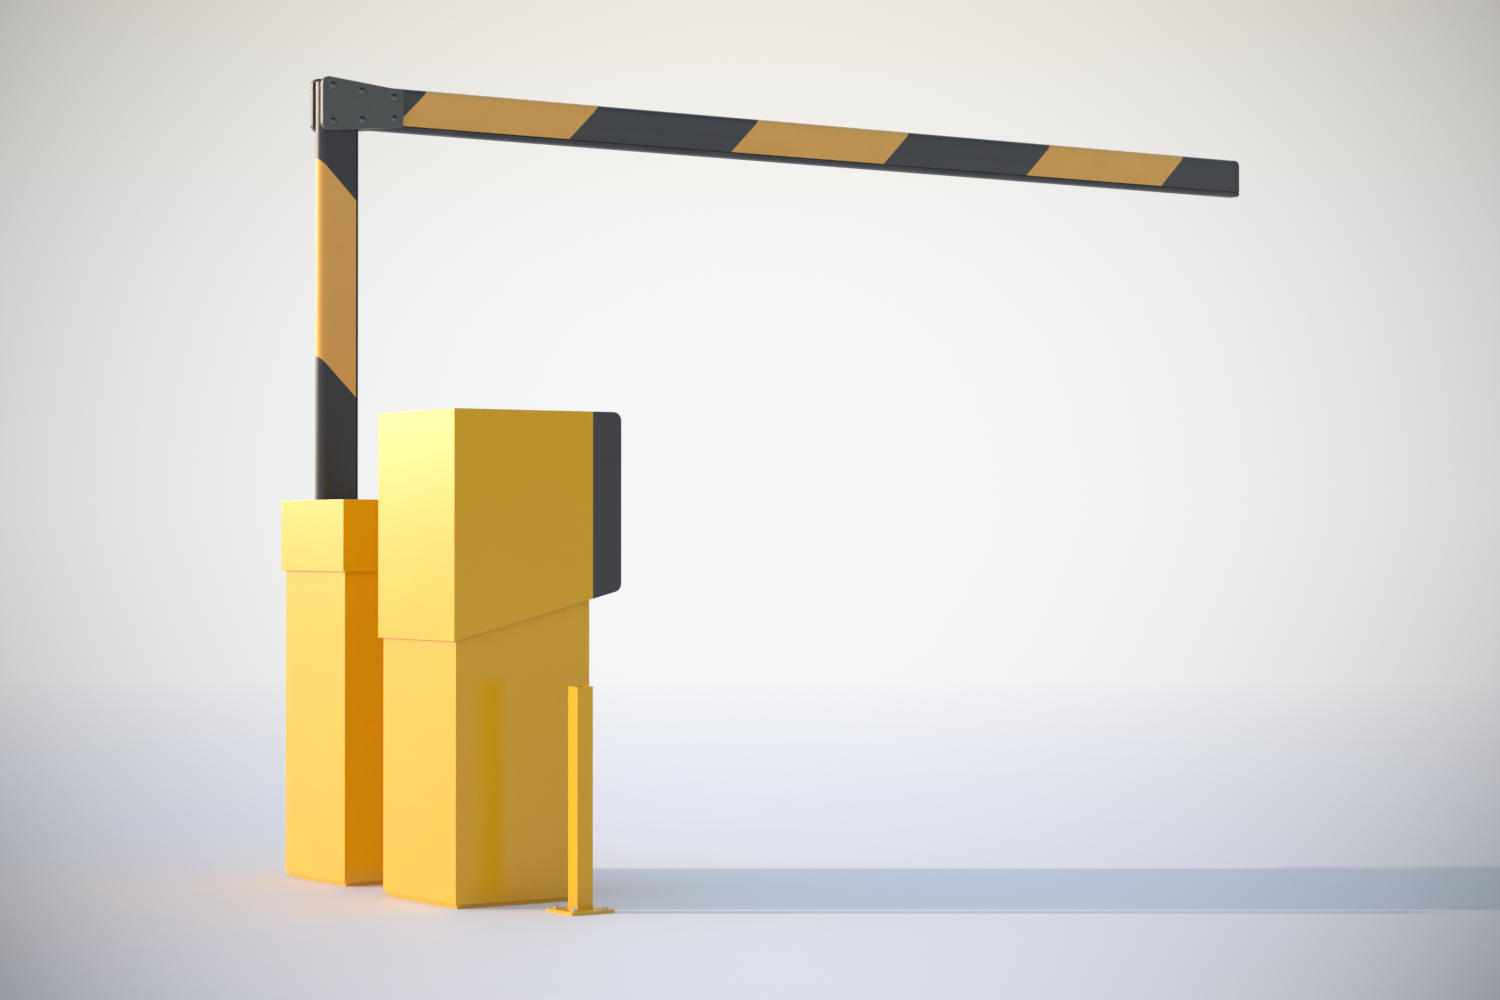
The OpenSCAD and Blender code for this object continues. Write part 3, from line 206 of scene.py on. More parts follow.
class Finish(Graph):
    """One procedural material, worked out in the piece's own metres, so it moves with the piece."""

    def __init__(self, name, colour, roughness, metallic=0.0):
        self.material = bpy.data.materials.new(name)
        self.material.use_nodes = True
        super().__init__(self.material.node_tree)
        self.shader = self.tree.nodes["Principled BSDF"]
        self.place = self.add("TexCoord").outputs["Object"]
        self.colour = colour
        self.roughness = roughness
        self.shader.inputs["Metallic"].default_value = metallic
        self.paint(colour)
        self.gloss(roughness)

    def paint(self, colour):
        self.colour = colour
        self.feed(self.shader.inputs["Base Color"], colour)

    def gloss(self, roughness):
        self.roughness = roughness
        self.feed(self.shader.inputs["Roughness"], roughness)

    def set(self, **inputs):
        for name, value in inputs.items():
            self.feed(self.shader.inputs[name.replace("_", " ")], value)

    def scaled(self, stretch):
        node = self.add("VectorMath", operation="MULTIPLY")
        self.feed(node.inputs[0], self.place)
        self.feed(node.inputs[1], stretch)
        return node.outputs[0]

    def noise(self, scale, detail=3.0, stretch=(1, 1, 1), rough=0.5):
        node = self.add("TexNoise")
        self.feed(node.inputs["Vector"], self.scaled(stretch))
        node.inputs["Scale"].default_value = scale
        node.inputs["Detail"].default_value = detail
        node.inputs["Roughness"].default_value = rough
        return node.outputs["Fac"]

    def cells(self, scale, stretch=(1, 1, 1), feature="F1", output="Distance"):
        node = self.add("TexVoronoi", feature=feature)
        self.feed(node.inputs["Vector"], self.scaled(stretch))
        node.inputs["Scale"].default_value = scale
        return node.outputs[output]

    def mottle(self, amount, scale, stretch=(1, 1, 1), detail=4.0):
        """Lightens and darkens the colour by a share of itself, in soft patches."""
        shade = self.spread(self.noise(scale, detail, stretch), NOISE_SPAN, (1 - amount, 1 + amount))
        self.paint(self.mix(1.0, self.colour, self.grey(shade), "MULTIPLY"))

    def grey(self, value):
        node = self.add("CombineColor")
        for socket in node.inputs:
            self.feed(socket, value)
        return node.outputs[0]

    def cover(self, factor, colour):
        self.paint(self.mix(factor, self.colour, colour))

    def vary_gloss(self, amount, scale, stretch=(1, 1, 1)):
        middle = self.roughness
        patches = self.noise(scale, 4.0, stretch)
        self.gloss(self.spread(patches, NOISE_SPAN, (middle - amount, middle + amount)))

    def bump(self, height, depth):
        node = self.add("Bump")
        node.inputs["Distance"].default_value = depth
        self.feed(node.inputs["Height"], height)
        before = self.shader.inputs["Normal"]
        if before.is_linked:
            self.feed(node.inputs["Normal"], before.links[0].from_socket)
        self.feed(before, node.outputs["Normal"])

    def edges(self, radius):
        """1 on sharp outer edges and corners, and 0 on open faces."""
        bevel = self.add("Bevel", samples=4)
        bevel.inputs["Radius"].default_value = radius
        normal = self.add("NewGeometry").outputs["Normal"]
        return self.spread(self.dot(bevel.outputs[0], normal), (0.995, 0.90), (0.0, 1.0))

    def wear(self, radius, amount, colour):
        """Rubs the sharp outer edges towards a paler colour."""
        self.cover(self.maths("MULTIPLY", self.edges(radius), amount), colour)

    def stain(self, scale, source, amount, colour):
        """Irregular patches of another colour."""
        self.cover(self.spread(self.noise(scale, 6.0), source, (0.0, amount)), colour)

    def dust(self, top, amount, colour):
        """Fine dust that thins out up to a height, in streaks and patches."""
        height = self.split(self.place)[2]
        near = self.spread(height, (0.0, top), (amount, 0.0), smooth=True)
        patches = self.spread(self.noise(9.0, 6.0), (0.35, 0.7), (0.35, 1.0))
        self.cover(self.maths("MULTIPLY", near, patches), colour)


# ---- Finishes: noise scales are per metre, and bump depths and edge widths are in metres ----


def yellow_paint(name, roughness):
    """Powder coat on sheet steel: fine orange peel, faint patches, rubbed edges, a little dust."""
    f = Finish(name, srgb(222, 167, 8), roughness)
    f.mottle(0.03, 2.3)
    f.mottle(0.012, 160.0)
    f.vary_gloss(0.03, 5.0)
    f.wear(0.0018, 0.18, srgb(250, 210, 110))
    f.dust(0.08, 0.04, srgb(176, 160, 128))
    f.bump(f.noise(420.0, 2.0), 0.00006)
    f.bump(f.noise(14.0, 1.0), 0.0002)
    f.set(Coat_Weight=0.12, Coat_Roughness=0.18)
    return f


def dark_coat(name, colour, stretch):
    """Anodised extrusion: faint die lines run the length of the profile."""
    f = Finish(name, colour, 0.28)
    f.set(Specular_IOR_Level=0.65)
    f.mottle(0.10, 60.0, stretch, 6.0)
    f.mottle(0.05, 3.0)
    f.vary_gloss(0.05, 40.0, stretch)
    f.wear(0.0008, 0.25, srgb(128, 132, 138))
    f.bump(f.noise(220.0, 2.0, stretch), 0.00003)
    return f


def black_oxide():
    """Glossy grey oxide on the domed screws, so that they mirror the sky and the floor."""
    f = Finish("black_oxide", srgb(104, 105, 108), 0.2, 1.0)
    f.mottle(0.08, 300.0)
    f.vary_gloss(0.04, 120.0)
    f.bump(f.noise(800.0, 2.0), 0.00002)
    return f


def stripe_film():
    """Retroreflective sheet: a fine lattice of cells under a smooth face."""
    f = Finish("stripe_film", srgb(226, 168, 78), 0.36)
    f.mottle(0.035, 7.0)
    lattice = f.add("TexBrick")
    lattice.offset = 0.5
    lattice.inputs["Color1"].default_value = (1, 1, 1, 1)
    lattice.inputs["Color2"].default_value = (0.985, 0.985, 0.985, 1)
    lattice.inputs["Mortar"].default_value = (0.86, 0.86, 0.86, 1)
    lattice.inputs["Scale"].default_value = 1.0
    lattice.inputs["Mortar Size"].default_value = 0.05
    lattice.inputs["Brick Width"].default_value = 1.0
    lattice.inputs["Row Height"].default_value = 0.86
    outs = f.split(f.scaled((260.0, 260.0, 260.0)))
    flat = f.add("CombineXYZ")
    f.feed(flat.inputs[0], outs[0])
    f.feed(flat.inputs[1], outs[2])
    f.feed(lattice.inputs["Vector"], flat.outputs[0])
    f.paint(f.mix(1.0, f.colour, lattice.outputs["Color"], "MULTIPLY"))
    f.vary_gloss(0.04, 30.0)
    f.set(Coat_Weight=0.15, Coat_Roughness=0.2)
    return f


def plate_grey():
    """Fine-textured powder coat on the knuckle plates and the clamp."""
    f = Finish("plate_grey", srgb(80, 84, 82), 0.40)
    f.mottle(0.06, 30.0)
    f.mottle(0.05, 900.0)
    f.wear(0.0012, 0.35, srgb(150, 152, 150))
    f.bump(f.noise(1100.0, 2.0), 0.00008)
    return f


def fascia_dark():
    """Dark satin coat with a fine leather grain."""
    f = Finish("fascia_dark", srgb(58, 59, 61), 0.42)
    f.mottle(0.05, 4.0)
    f.vary_gloss(0.05, 12.0)
    f.wear(0.0015, 0.25, srgb(128, 131, 136))
    grain = f.cells(900.0, feature="SMOOTH_F1")
    f.bump(grain, 0.00007)
    return f


def rubber_black():
    """Matt rubber with a pale bloom in patches."""
    f = Finish("rubber_black", srgb(58, 60, 63), 0.62)
    f.mottle(0.12, 14.0)
    f.mottle(0.10, 500.0)
    f.stain(5.0, (0.5, 0.8), 0.12, srgb(150, 146, 138))
    f.bump(f.noise(700.0, 3.0), 0.00012)
    return f


def turned_steel():
    """Machined steel: fine tool marks and a trace of oil."""
    f = Finish("machined_steel", srgb(196, 199, 202), 0.30, 1.0)
    f.mottle(0.06, 20.0)
    f.mottle(0.08, 300.0, (1.0, 1.0, 6.0))
    f.vary_gloss(0.08, 35.0)
    f.stain(16.0, (0.55, 0.8), 0.35, srgb(120, 108, 92))
    f.bump(f.noise(500.0, 3.0, (1.0, 6.0, 1.0)), 0.00005)
    return f


def zinc_plated():
    """Satin zinc: faint crystals, and a warmer tone where the plating is thin."""
    f = Finish("zinc_plated", srgb(196, 199, 202), 0.38, 1.0)
    crystals = f.cells(240.0, output="Color")
    f.paint(f.mix(0.05, f.colour, crystals, "SOFT_LIGHT"))
    f.mottle(0.05, 25.0)
    f.vary_gloss(0.05, 60.0)
    f.wear(0.0006, 0.3, srgb(170, 160, 140))
    f.bump(f.noise(300.0, 2.0), 0.000006)
    return f


def cast_grey():
    """Hammered enamel on iron castings."""
    f = Finish("cast_grey", srgb(104, 112, 118), 0.40)
    f.mottle(0.07, 18.0)
    f.wear(0.0015, 0.45, srgb(152, 155, 158))
    f.stain(11.0, (0.58, 0.8), 0.3, srgb(66, 62, 58))
    f.bump(f.cells(190.0, feature="SMOOTH_F1"), 0.0004)
    f.bump(f.noise(900.0, 2.0), 0.00005)
    return f


def spring_steel():
    """Shot-peened, oiled wire."""
    f = Finish("spring_steel", srgb(96, 98, 104), 0.38, 0.85)
    f.mottle(0.15, 90.0)
    f.stain(40.0, (0.55, 0.8), 0.5, srgb(92, 74, 58))
    f.bump(f.cells(700.0), 0.00012)
    return f


def bronze():
    """Sintered bronze with fine pores."""
    f = Finish("bronze", srgb(190, 154, 98), 0.34, 1.0)
    f.mottle(0.10, 500.0)
    f.mottle(0.08, 25.0)
    f.bump(f.cells(1200.0), 0.00004)
    return f


def pad_plastic():
    """Natural nylon, slightly translucent."""
    f = Finish("pad_plastic", srgb(222, 216, 202), 0.5)
    f.mottle(0.05, 60.0)
    f.vary_gloss(0.08, 30.0)
    f.set(Subsurface_Weight=0.05)
    f.bump(f.noise(600.0, 2.0), 0.00005)
    return f


def box_grey():
    """Moulded ABS with an even spark texture."""
    f = Finish("box_grey", srgb(150, 154, 157), 0.52)
    f.mottle(0.03, 6.0)
    f.mottle(0.04, 800.0)
    f.wear(0.001, 0.25, srgb(196, 198, 200))
    f.bump(f.noise(1400.0, 2.0), 0.00008)
    return f


def screen():
    """Dark display glass: a dim active area inside a black border, with a few smears."""
    low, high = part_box("display_glass")
    f = Finish("screen", srgb(8, 10, 13), 0.06)
    across = f.spread(f.split(f.place)[1], (low[1], high[1]), (-1.0, 1.0))
    up = f.spread(f.split(f.place)[2], (low[2], high[2]), (-1.0, 1.0))
    inside = f.maths(
        "MULTIPLY",
        f.spread(f.maths("ABSOLUTE", across), (0.90, 0.88), (0.0, 1.0)),
        f.spread(f.maths("ABSOLUTE", up), (0.84, 0.80), (0.0, 1.0)),
    )
    glow = f.mix(f.spread(up, (-1.0, 1.0), (0.0, 1.0)), srgb(20, 44, 62), srgb(38, 78, 98))
    f.cover(inside, glow)
    f.set(Coat_Weight=1.0, Coat_Roughness=0.03)
    f.gloss(f.spread(f.noise(22.0, 6.0, (1.0, 2.0, 1.0)), (0.45, 0.8), (0.05, 0.22)))
    f.feed(f.shader.inputs["Emission Color"], f.mix(inside, BLACK, srgb(60, 120, 150)))
    f.set(Emission_Strength=0.25)
    return f


def button_green():
    """Translucent green cap over a dim lamp."""
    f = Finish("button_green", srgb(34, 150, 72), 0.22)
    f.mottle(0.05, 80.0)
    f.set(Coat_Weight=0.6, Coat_Roughness=0.08, Emission_Strength=0.12)
    f.feed(f.shader.inputs["Emission Color"], srgb(60, 220, 110))
    f.vary_gloss(0.05, 60.0)
    return f


def aluminium():
    """Brushed aluminium, with its lines running level."""
    f = Finish("aluminium", srgb(205, 208, 211), 0.34, 1.0)
    f.mottle(0.06, 200.0, (1.0, 1.0, 8.0))
    f.vary_gloss(0.06, 40.0)
    f.bump(f.noise(600.0, 2.0, (1.0, 8.0, 1.0)), 0.00004)
    return f


def paper():
    """Wound paper: the edges of the turns show as fine rings round the roll's middle."""
    low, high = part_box("ticket_roll")
    f = Finish("paper", srgb(232, 229, 220), 0.8)
    outs = f.split(f.place)
    across = f.maths("SUBTRACT", outs[0], (low[0] + high[0]) / 2)
    up = f.maths("SUBTRACT", outs[2], (low[2] + high[2]) / 2)
    squares = f.maths("ADD", f.maths("POWER", across, 2.0), f.maths("POWER", up, 2.0))
    radius = f.maths("SQRT", squares)
    turns = f.maths("SINE", f.maths("MULTIPLY", radius, 5200.0))
    f.paint(f.mix(1.0, f.colour, f.grey(f.spread(turns, (-1.0, 1.0), (0.88, 1.0))), "MULTIPLY"))
    core = f.spread(radius, (0.0085, 0.009), (1.0, 0.0))
    f.cover(core, srgb(150, 118, 84))
    f.bump(turns, 0.00008)
    return f


FINISHES = {
    "yellow_paint": yellow_paint("yellow_paint", 0.18),
    "dark_coat": dark_coat("dark_coat", srgb(43, 46, 51), (1.0, 1.0, 0.01)),
    "stripe_film": stripe_film(),
    "fascia_dark": fascia_dark(),
    "rubber_black": rubber_black(),
    "plate_grey": plate_grey(),
    "machined_steel": turned_steel(),
    "zinc_plated": zinc_plated(),
    "cast_grey": cast_grey(),
    "spring_steel": spring_steel(),
    "bronze": bronze(),
    "pad_plastic": pad_plastic(),
    "box_grey": box_grey(),
    "screen": screen(),
    "button_green": button_green(),
    "aluminium": aluminium(),
    "paper": paper(),
}
# The level arm's copy of the dark coat, with its die lines running along the arm. Its colour is painted
# lighter than the upright's coat: a painted lighter tone that stands in for the light on the level arm.
LEVEL_COAT_PAINTED_LIGHTER = dark_coat("dark_coat_level_painted_lighter", srgb(59, 62, 63), (0.01, 1.0, 1.0))
SCREW_COAT = black_oxide()
POST_PAINT = yellow_paint("yellow_paint_post", 0.40)


def dress_nodes():
    """Gives every CAD node the finish of its material slot."""
    special = {
        # the level arm takes the copy of the dark coat whose colour is painted lighter to stand in for
        # light
        "arm_tube": LEVEL_COAT_PAINTED_LIGHTER,
        "knuckle_screws": SCREW_COAT,
        "pad_screws": SCREW_COAT,
        "guard_post": POST_PAINT,
    }
    for part in frame["record"]["subparts"]:
        node = part["node"]
        finish = special.get(node, FINISHES[part["material_slot"]])
        materials = NODES[node].data.materials
        materials.clear()
        materials.append(finish.material)


# ---- Softened edges ----


def soften(node, width, segments=2, angle=35):
    """Rounds a CAD node's outer edges with modifiers, as a brake press or a file would."""
    target = NODES[node]
    weld = target.modifiers.new("weld", "WELD")
    weld.merge_threshold = 0.000002
    flat = target.modifiers.new("flat", "DECIMATE")
    flat.decimate_type = "DISSOLVE"
    flat.angle_limit = math.radians(0.5)
    bevel = target.modifiers.new("bevel", "BEVEL")
    bevel.width = width
    bevel.segments = segments
    bevel.limit_method = "ANGLE"
    bevel.angle_limit = math.radians(angle)
    bevel.use_clamp_overlap = True
    bevel.miter_outer = "MITER_ARC"
    weighted = target.modifiers.new("weighted", "WEIGHTED_NORMAL")
    weighted.keep_sharp = True


SOFT_EDGES = {  # widths in millimetres
    "cabinet_hood": 1.6, "cabinet_body": 1.2, "cabinet_door": 0.9, "terminal_hood": 1.6,
    "terminal_body": 1.2, "fascia": 0.8, "guard_post": 0.5, "front_knuckle_plate": 1.0,
    "back_knuckle_plate": 1.0, "boom_hub": 1.0, "clamp_plate": 1.0, "gearbox": 1.5,
    "control_box": 1.5, "arm_end_cap": 1.5, "ticket_mouth": 0.8, "outer_frame_plate": 0.5,
    "inner_frame_plate": 0.5, "bearing_housings": 0.8, "base_frame": 0.5, "terminal_base": 0.5,
    "shaft_lever": 0.6, "crank": 0.6, "drive_link": 0.6, "levelling_bracket": 0.4,
}


# ---- Pieces made here ----


def add_piece(name, shape, slot, body=None, crease=40.0):
    """Turns a bmesh into a piece with a slot's finish, smooth but for its creases."""
    bmesh.ops.recalc_face_normals(shape, faces=shape.faces)
    mesh = bpy.data.meshes.new(name)
    shape.to_mesh(mesh)
    shape.free()
    mesh.shade_smooth()
    mesh.set_sharp_from_angle(angle=math.radians(crease))
    mesh.materials.append(FINISHES[slot].material)
    piece = bpy.data.objects.new(name, mesh)
    SCENE.collection.objects.link(piece)
    if body:
        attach(piece, body)
    return piece


def ring_points(radius, sides=16):
    """(a, b) points round a circle."""
    angles = [math.tau * k / sides for k in range(sides)]
    return [(radius * math.cos(angle), radius * math.sin(angle)) for angle in angles]


def sweep(shape, path, section, closed=False, up=(0.0, 0.0, 1.0)):
    """Carries a section along a path. section(k) gives its (sideways, upward) points at path point k."""
    count = len(path)
    rings = []
    side = None
    for k, point in enumerate(path):
        before = path[k - 1] if k or closed else path[0]
        after = path[(k + 1) % count] if k < count - 1 or closed else path[-1]
        along = (after - before).normalized()
        side = along.cross(Vector(up)) if side is None else side - along * side.dot(along)
        side.normalize()
        rise = side.cross(along)
        rings.append([shape.verts.new(point + side * a + rise * b) for a, b in section(k)])
    pairs = zip(rings, rings[1:] + rings[:1]) if closed else zip(rings, rings[1:])
    for first, second in pairs:
        size = len(first)
        for k in range(size):
            shape.faces.new((first[k], first[(k + 1) % size], second[(k + 1) % size], second[k]))
    if not closed:
        shape.faces.new(rings[0])
        shape.faces.new(rings[-1][::-1])


def turned(shape, at, axis, profile, sides=48):
    """Spins a closed profile of (radius, height) points about an axis through a point."""
    axis = Vector(axis).normalized()
    first = axis.orthogonal().normalized()
    second = axis.cross(first)
    rings = []
    for radius, height in profile:
        middle = Vector(at) + axis * height
        ring = [middle + radius * (first * a + second * b) for a, b in ring_points(1.0, sides)]
        rings.append([shape.verts.new(point) for point in ring])
    for one, other in zip(rings, rings[1:] + rings[:1]):
        for k in range(sides):
            shape.faces.new((one[k], one[(k + 1) % sides], other[(k + 1) % sides], other[k]))


def rounded_loop(half_a, half_b, radius, per_corner=8):
    """(a, b) points round a rectangle with round corners, counter-clockwise."""
    points = []
    for quarter, (sign_a, sign_b) in enumerate(((1, 1), (-1, 1), (-1, -1), (1, -1))):
        for k in range(per_corner + 1):
            angle = math.radians(90 * (quarter + k / per_corner))
            points.append((sign_a * (half_a - radius) + radius * math.cos(angle),
                           sign_b * (half_b - radius) + radius * math.sin(angle)))
    return points


def dense(points, step):
    """Adds points along a closed loop, so that none are further apart than step."""
    result = []
    for first, second in zip(points, points[1:] + points[:1]):
        pieces = max(1, math.ceil((second - first).length / step))
        result += [first.lerp(second, k / pieces) for k in range(pieces)]
    return result


def curve_through(points, per_span=12):
    """A smooth path through points (Catmull-Rom)."""
    ends = [points[0] * 2 - points[1]] + list(points) + [points[-1] * 2 - points[-2]]
    path = []
    for p0, p1, p2, p3 in zip(ends, ends[1:], ends[2:], ends[3:]):
        for k in range(per_span):
            t = k / per_span
            path.append(0.5 * (
                2 * p1 + (p2 - p0) * t + (2 * p0 - 5 * p1 + 4 * p2 - p3) * t * t
                + (3 * p1 - 3 * p2 + p3 - p0) * t ** 3
            ))
    return path + [points[-1]]


def balance_spring():
    """A round-wire torsion spring: one leg stands on the frame's peg; the piece is attached to no body,
    so neither leg turns with the shaft.
    """
    low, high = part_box("balance_spring")
    wire = 6.0 * MM
    turns = 5
    leg = 34.0 * MM
    steps = 48 * turns  # 48 to a turn
    middle = (Vector(low) + Vector(high)) / 2
    radius = (high[0] - low[0]) / 2 - wire
    start, end = low[1] + wire, high[1] - wire
    path = []
    for k in range(steps + 1):
        angle = math.tau * turns * k / steps
        path.append(Vector((
            middle.x + radius * math.cos(angle),
            start + (end - start) * k / steps,
            middle.z + radius * math.sin(angle),
        )))
    rise = Vector((0.0, 0.0, leg))
    path = [path[0] - rise, path[0] - rise * 0.5] + path + [path[-1] + rise * 0.5, path[-1] + rise]
    shape = bmesh.new()
    sweep(shape, path, lambda k: ring_points(wire, 20), up=PLUS_Y)
    piece = add_piece("balance_spring_wire", shape, "spring_steel")
    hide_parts("balance_spring")
    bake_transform(piece)


def post_weld():
    """A rippled weld bead where the post's tube stands on its plate."""
    low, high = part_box("guard_post")
    middle = (Vector(low) + Vector(high)) / 2
    half = 22.5 * MM  # half the tube's width
    height = 8.3 * MM  # just above the plate's top
    corners = rounded_loop(half, half, 4 * MM)
    path = dense([Vector((middle.x + a, middle.y + b, height)) for a, b in corners], 0.8 * MM)

    def ripple(k):
        return ring_points((2.7 + 0.35 * math.sin(1.7 * k)) * MM, 10)

    shape = bmesh.new()
    sweep(shape, path, ripple, closed=True)
    add_piece("post_weld", shape, "yellow_paint", "frame", 60.0)


def edge_trim(name, x, middle, half_y, half_z, radius):
    """A rubber strip round the inner edge of an opening in a wall that faces +X."""
    corners = rounded_loop(half_y, half_z, 4 * MM)
    path = dense([Vector((x, middle[0] + a, middle[1] + b)) for a, b in corners], 20 * MM)
    shape = bmesh.new()
    sweep(shape, path, lambda k: ring_points(radius, 12), closed=True, up=PLUS_X)
    add_piece(name, shape, "rubber_black", "frame")


def edge_trims():
    """The seals that the service door and the fascia close on."""
    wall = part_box("cabinet_body")[1][0]
    low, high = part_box("cabinet_door")
    lap = 16 * MM  # how far the door reaches past its opening, and the seal
    middle = (0.0, (low[2] + high[2]) / 2)
    edge_trim("door_seal", wall - 2.2 * MM, middle, 134 * MM, (high[2] - low[2]) / 2 - lap, 1.9 * MM)
    low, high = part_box("terminal_body")
    middle = ((low[1] + high[1]) / 2, 990 * MM)
    edge_trim("fascia_seal", high[0] - 0.5 * MM, middle, 157 * MM, 189 * MM, 2.6 * MM)


def gland(shape, at, up, bore):
    """A cable gland: a six-sided nut under a domed cap."""
    nut = [(1.0, 0.0), (1.75, 0.0), (1.75, 5.0), (1.0, 5.0)]
    cap = [(0.98, 4.5), (1.5, 4.5), (1.5, 9.0), (1.4, 12.0), (1.2, 14.0), (0.98, 14.5)]
    for profile, sides in ((nut, 6), (cap, 32)):
        turned(shape, at, up, [(bore * r, h * MM) for r, h in profile], sides)


def motor_cable():
    """The cable from the control box to the motor's terminal box, with a gland at each end."""
    box_low, box_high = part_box("control_box")
    motor_low, motor_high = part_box("motor")
    supply_low, supply_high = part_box("supply_cable")
    foot = Vector((motor_low[0] + 9 * MM, (motor_low[1] + motor_high[1]) / 2, motor_high[2] - 40 * MM))
    head = Vector((foot.x, (box_low[1] + box_high[1]) / 2, box_low[2]))
    up = Vector((0.0, 0.0, 1.0))
    lead = up * 30 * MM  # the straight piece at each gland
    sag = foot.lerp(head, 0.5) + Vector((-8 * MM, 0, 0))
    path = curve_through([foot, foot + lead, sag, head - lead, head])
    shape = bmesh.new()
    sweep(shape, path, lambda k: ring_points(4.5 * MM, 16), up=PLUS_Y)
    add_piece("motor_cable", shape, "rubber_black", "frame")
    shape = bmesh.new()
    gland(shape, foot, up, 4.6 * MM)
    gland(shape, head, -up, 4.6 * MM)
    supply = (Vector(supply_low) + Vector(supply_high)) / 2
    gland(shape, (supply.x, supply.y, box_low[2]), -up, 8.1 * MM)
    add_piece("cable_glands", shape, "box_grey", "frame", 30.0)


def display_bezel():
    """A chamfered frame round the display glass."""
    low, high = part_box("display_glass")
    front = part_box("fascia")[1][0]
    middle = (Vector(low) + Vector(high)) / 2
    margin = 2 * MM
    corners = rounded_loop((high[1] - low[1]) / 2 + margin, (high[2] - low[2]) / 2 + margin, 5 * MM)
    path = dense([Vector((front, middle.y + a, middle.z + b)) for a, b in corners], 30 * MM)
    outline = [(-4, 0), (-2.5, 2.4), (2.5, 2.4), (3.5, 1.2), (3.5, 0)]
    section = [(a * MM, b * MM) for a, b in outline]
    shape = bmesh.new()
    sweep(shape, path, lambda k: section, closed=True, up=PLUS_X)
    add_piece("display_bezel", shape, "fascia_dark", "fascia", 25.0)


def button_rings():
    """Turned collars round both buttons."""
    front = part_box("fascia")[1][0]
    outline = [(0.0, -0.5), (0.0, 2.6), (0.8, 3.4), (3.4, 3.4), (5.0, 1.8), (5.4, -0.5)]
    shape = bmesh.new()
    for node in ("ticket_button", "call_button"):
        low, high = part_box(node)
        middle = (Vector(low) + Vector(high)) / 2
        bore = (high[2] - low[2]) / 2 - 3.3 * MM
        profile = [(bore + r * MM, h * MM) for r, h in outline]
        turned(shape, (front, middle.y, middle.z), PLUS_X, profile, 64)
    add_piece("button_rings", shape, "zinc_plated", "fascia", 35.0)


# ---- Studio ----


def vignette(graph):
    """The share of the light that is lost at each place of the picture, most in its corners."""
    window = graph.split(graph.add("TexCoord").outputs["Window"])
    across = graph.spread(window[0], (0.0, 1.0), (-1.0, 1.0))
    up = graph.spread(window[1], (0.0, 1.0), (-HALF_TALL, HALF_TALL))
    squares = graph.maths(
        "ADD",
        graph.maths("POWER", graph.maths("ABSOLUTE", across), 2.0),
        graph.maths("POWER", graph.maths("ABSOLUTE", up), 2.0),
    )
    loss = graph.maths("MULTIPLY", graph.maths("POWER", squares, CORNER_POWER), CORNER_LOSS)
    low = graph.spread(up, (-HALF_TALL, -0.02), (HALF_TALL, 0.0))
    low = graph.maths("MULTIPLY", low, graph.maths("POWER", across, 2.0))
    loss = graph.maths("ADD", loss, graph.maths("MULTIPLY", low, LOW_LOSS))
    seen = graph.add("LightPath").outputs["Is Camera Ray"]
    return graph.maths("MULTIPLY", loss, seen)


def glare(graph, way):
    """How much brighter floor and horizon are on the panel's side, but not for the camera."""
    side = Vector(PANEL_WAY)
    side.z = 0.0
    levels = (0.0, GLARE_STRENGTH)
    near = graph.spread(graph.dot(way, side.normalized()), GLARE_SPAN, levels, smooth=True)
    unseen = graph.maths("SUBTRACT", 1.0, graph.add("LightPath").outputs["Is Camera Ray"])
    return graph.maths("MULTIPLY", near, unseen)


def make_floor():
    """A pale disc that fades into the backdrop far out."""
    mesh = bpy.data.meshes.new("floor")
    shape = bmesh.new()
    bmesh.ops.create_circle(shape, cap_ends=True, radius=FLOOR_RADIUS, segments=128)
    shape.to_mesh(mesh)
    shape.free()
    floor = bpy.data.objects.new("floor", mesh)
    SCENE.collection.objects.link(floor)
    f = Finish("floor", srgb(236, 235, 237), 0.6)
    f.mottle(0.008, 1.2)
    f.set(Specular_IOR_Level=0.1)
    f.bump(f.noise(90.0, 3.0), 0.0002)
    away = f.spread(f.length(f.place), FLOOR_FADE, (0.0, 1.0))
    glow = f.add("Emission")
    glow.inputs["Color"].default_value = BACKDROP_LOW
    way = f.add("VectorMath", operation="NORMALIZE")
    f.feed(way.inputs[0], f.place)
    f.feed(glow.inputs["Strength"], f.maths("ADD", 1.0, glare(f, way.outputs[0])))
    dark = f.add("Emission")
    dark.inputs["Color"].default_value = BLACK
    far = f.blend_shaders(away, f.shader.outputs[0], glow.outputs[0])
    out = f.tree.nodes["Material Output"]
    f.tree.links.new(f.blend_shaders(vignette(f), far, dark.outputs[0]), out.inputs["Surface"])
    mesh.materials.append(f.material)


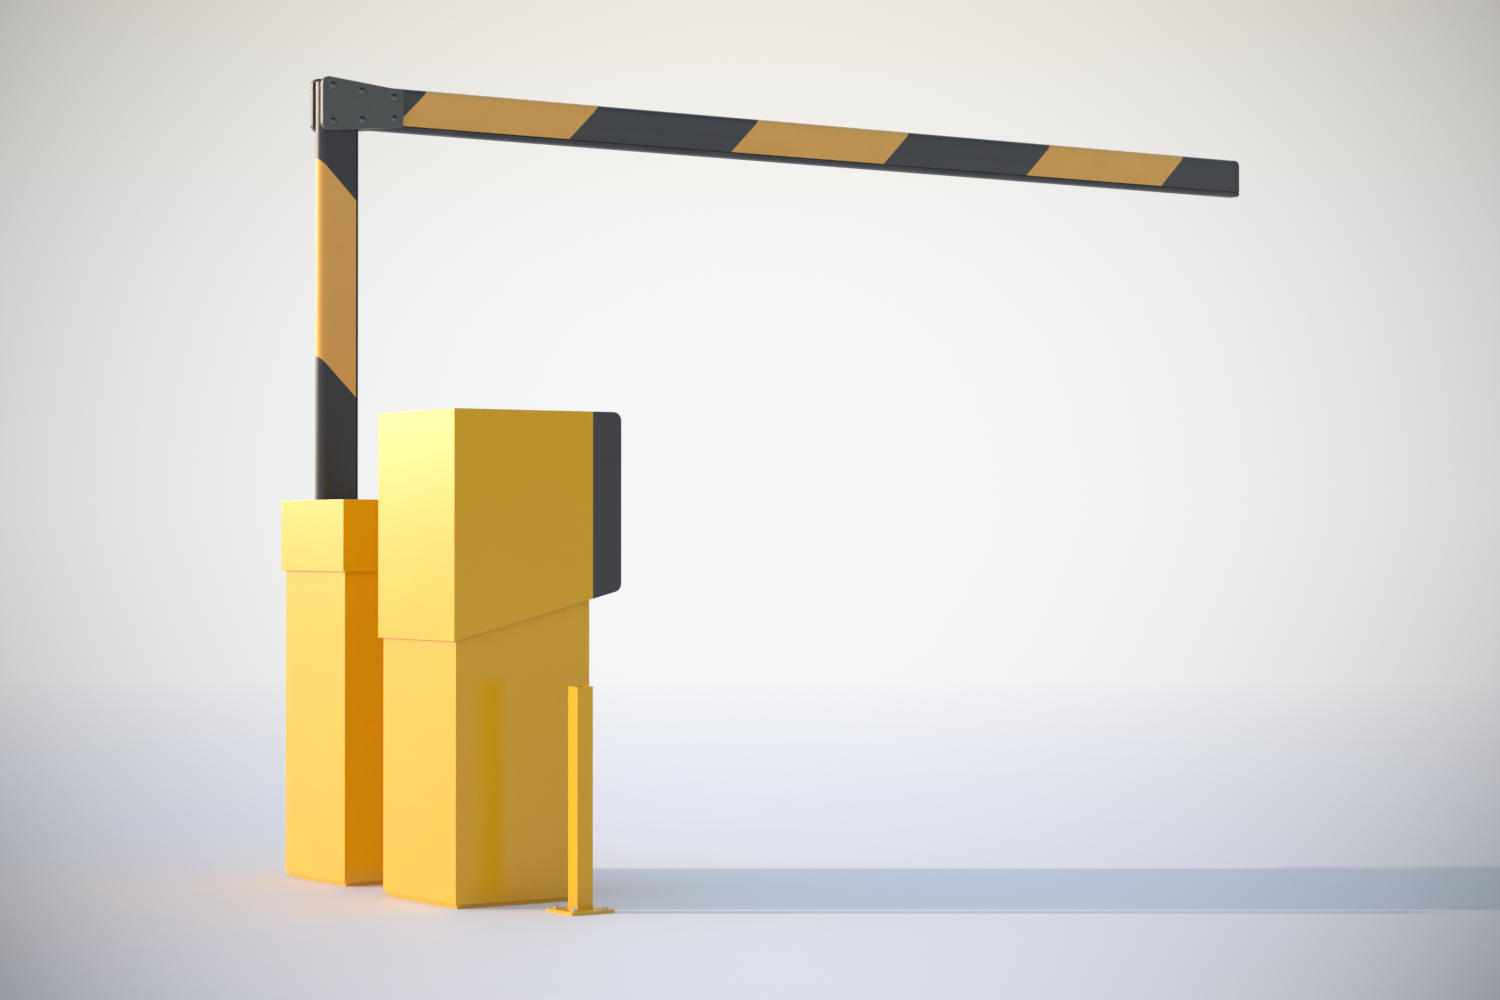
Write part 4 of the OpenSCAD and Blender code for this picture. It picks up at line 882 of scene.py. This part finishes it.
def make_world():
    """A pale horizon under a dark blue zenith, a small bright panel and soft light from above.

    The camera sees a plain backdrop instead.
    """
    world = bpy.data.worlds.new("studio")
    SCENE.world = world
    world.use_nodes = True
    g = Graph(world.node_tree)
    way = g.add("TexCoord").outputs["Generated"]
    height = g.split(way)[2]
    ramp = g.add("ValToRGB")
    stops = ramp.color_ramp.elements
    for k, (place, colour) in enumerate(SKY_STOPS):
        if k < 2:  # a new ramp has its two ends already
            stops[k].color = colour
        else:
            stops.new(place).color = colour
    g.feed(ramp.inputs[0], height)
    level = g.spread(g.dot(way, SKY_SIDE), SKY_SPAN, SKY_LEVELS, smooth=True)
    level = g.maths("ADD", level, glare(g, way))
    panel = g.spread(g.dot(way, PANEL_WAY), PANEL_SPAN, (0.0, PANEL_STRENGTH), smooth=True)
    panel = g.maths("MULTIPLY", panel, g.add("LightPath").outputs["Is Glossy Ray"])
    overhead = g.spread(height, OVERHEAD_SPAN, (0.0, 1.0), smooth=True)
    overhead = g.maths("MULTIPLY", overhead, g.add("LightPath").outputs["Is Diffuse Ray"])
    light = g.lights([(ramp.outputs["Color"], level), (PANEL_COLOUR, panel), (OVERHEAD, overhead)])
    warm = g.spread(height, BACKDROP_SPAN, (0.0, 1.0), smooth=True)
    sky = g.mix(warm, BACKDROP_LOW, BACKDROP_HIGH)
    shade = g.maths("SUBTRACT", 1.0, vignette(g))
    back = g.add("Background")
    g.feed(back.inputs["Color"], sky)
    g.feed(back.inputs["Strength"], shade)
    seen = g.add("LightPath").outputs["Is Camera Ray"]
    out = g.tree.nodes["World Output"]
    g.tree.links.new(g.blend_shaders(seen, light, back.outputs[0]), out.inputs["Surface"])


def make_lights():
    """A low warm sun from the camera's left."""
    heading = math.radians(CAMERA_HEADING)
    towards = Vector((math.cos(heading), -math.sin(heading), -math.tan(math.radians(SUN_HEIGHT))))
    data = bpy.data.lights.new("key", "SUN")
    data.energy = SUN_STRENGTH
    data.angle = math.radians(SUN_WIDTH)
    data.color = SUN_COLOUR
    key = bpy.data.objects.new("key", data)
    key.rotation_mode = "QUATERNION"
    key.rotation_quaternion = towards.to_track_quat("-Z", "Y")
    SCENE.collection.objects.link(key)


def make_camera():
    """The camera, at the height and heading of the main view."""
    data = bpy.data.cameras.new("camera")
    data.lens = CAMERA_LENS
    data.sensor_width = SENSOR_WIDTH
    data.clip_end = VIEW_LIMIT
    camera = bpy.data.objects.new("camera", data)
    camera.location = CAMERA_AT
    heading, pitch = math.radians(CAMERA_HEADING), math.radians(CAMERA_PITCH)
    level = math.cos(pitch)
    look = Vector((math.sin(heading) * level, math.cos(heading) * level, math.sin(pitch)))
    camera.rotation_mode = "QUATERNION"
    camera.rotation_quaternion = look.to_track_quat("-Z", "Y")
    SCENE.collection.objects.link(camera)
    SCENE.camera = camera
    SCENE.view_settings.view_transform = "Standard"


def main():
    dress_nodes()
    balance_spring()
    post_weld()
    edge_trims()
    motor_cable()
    display_bezel()
    button_rings()
    for node, width in SOFT_EDGES.items():
        soften(node, width * MM)
    make_floor()
    make_world()
    make_lights()
    make_camera()


main()
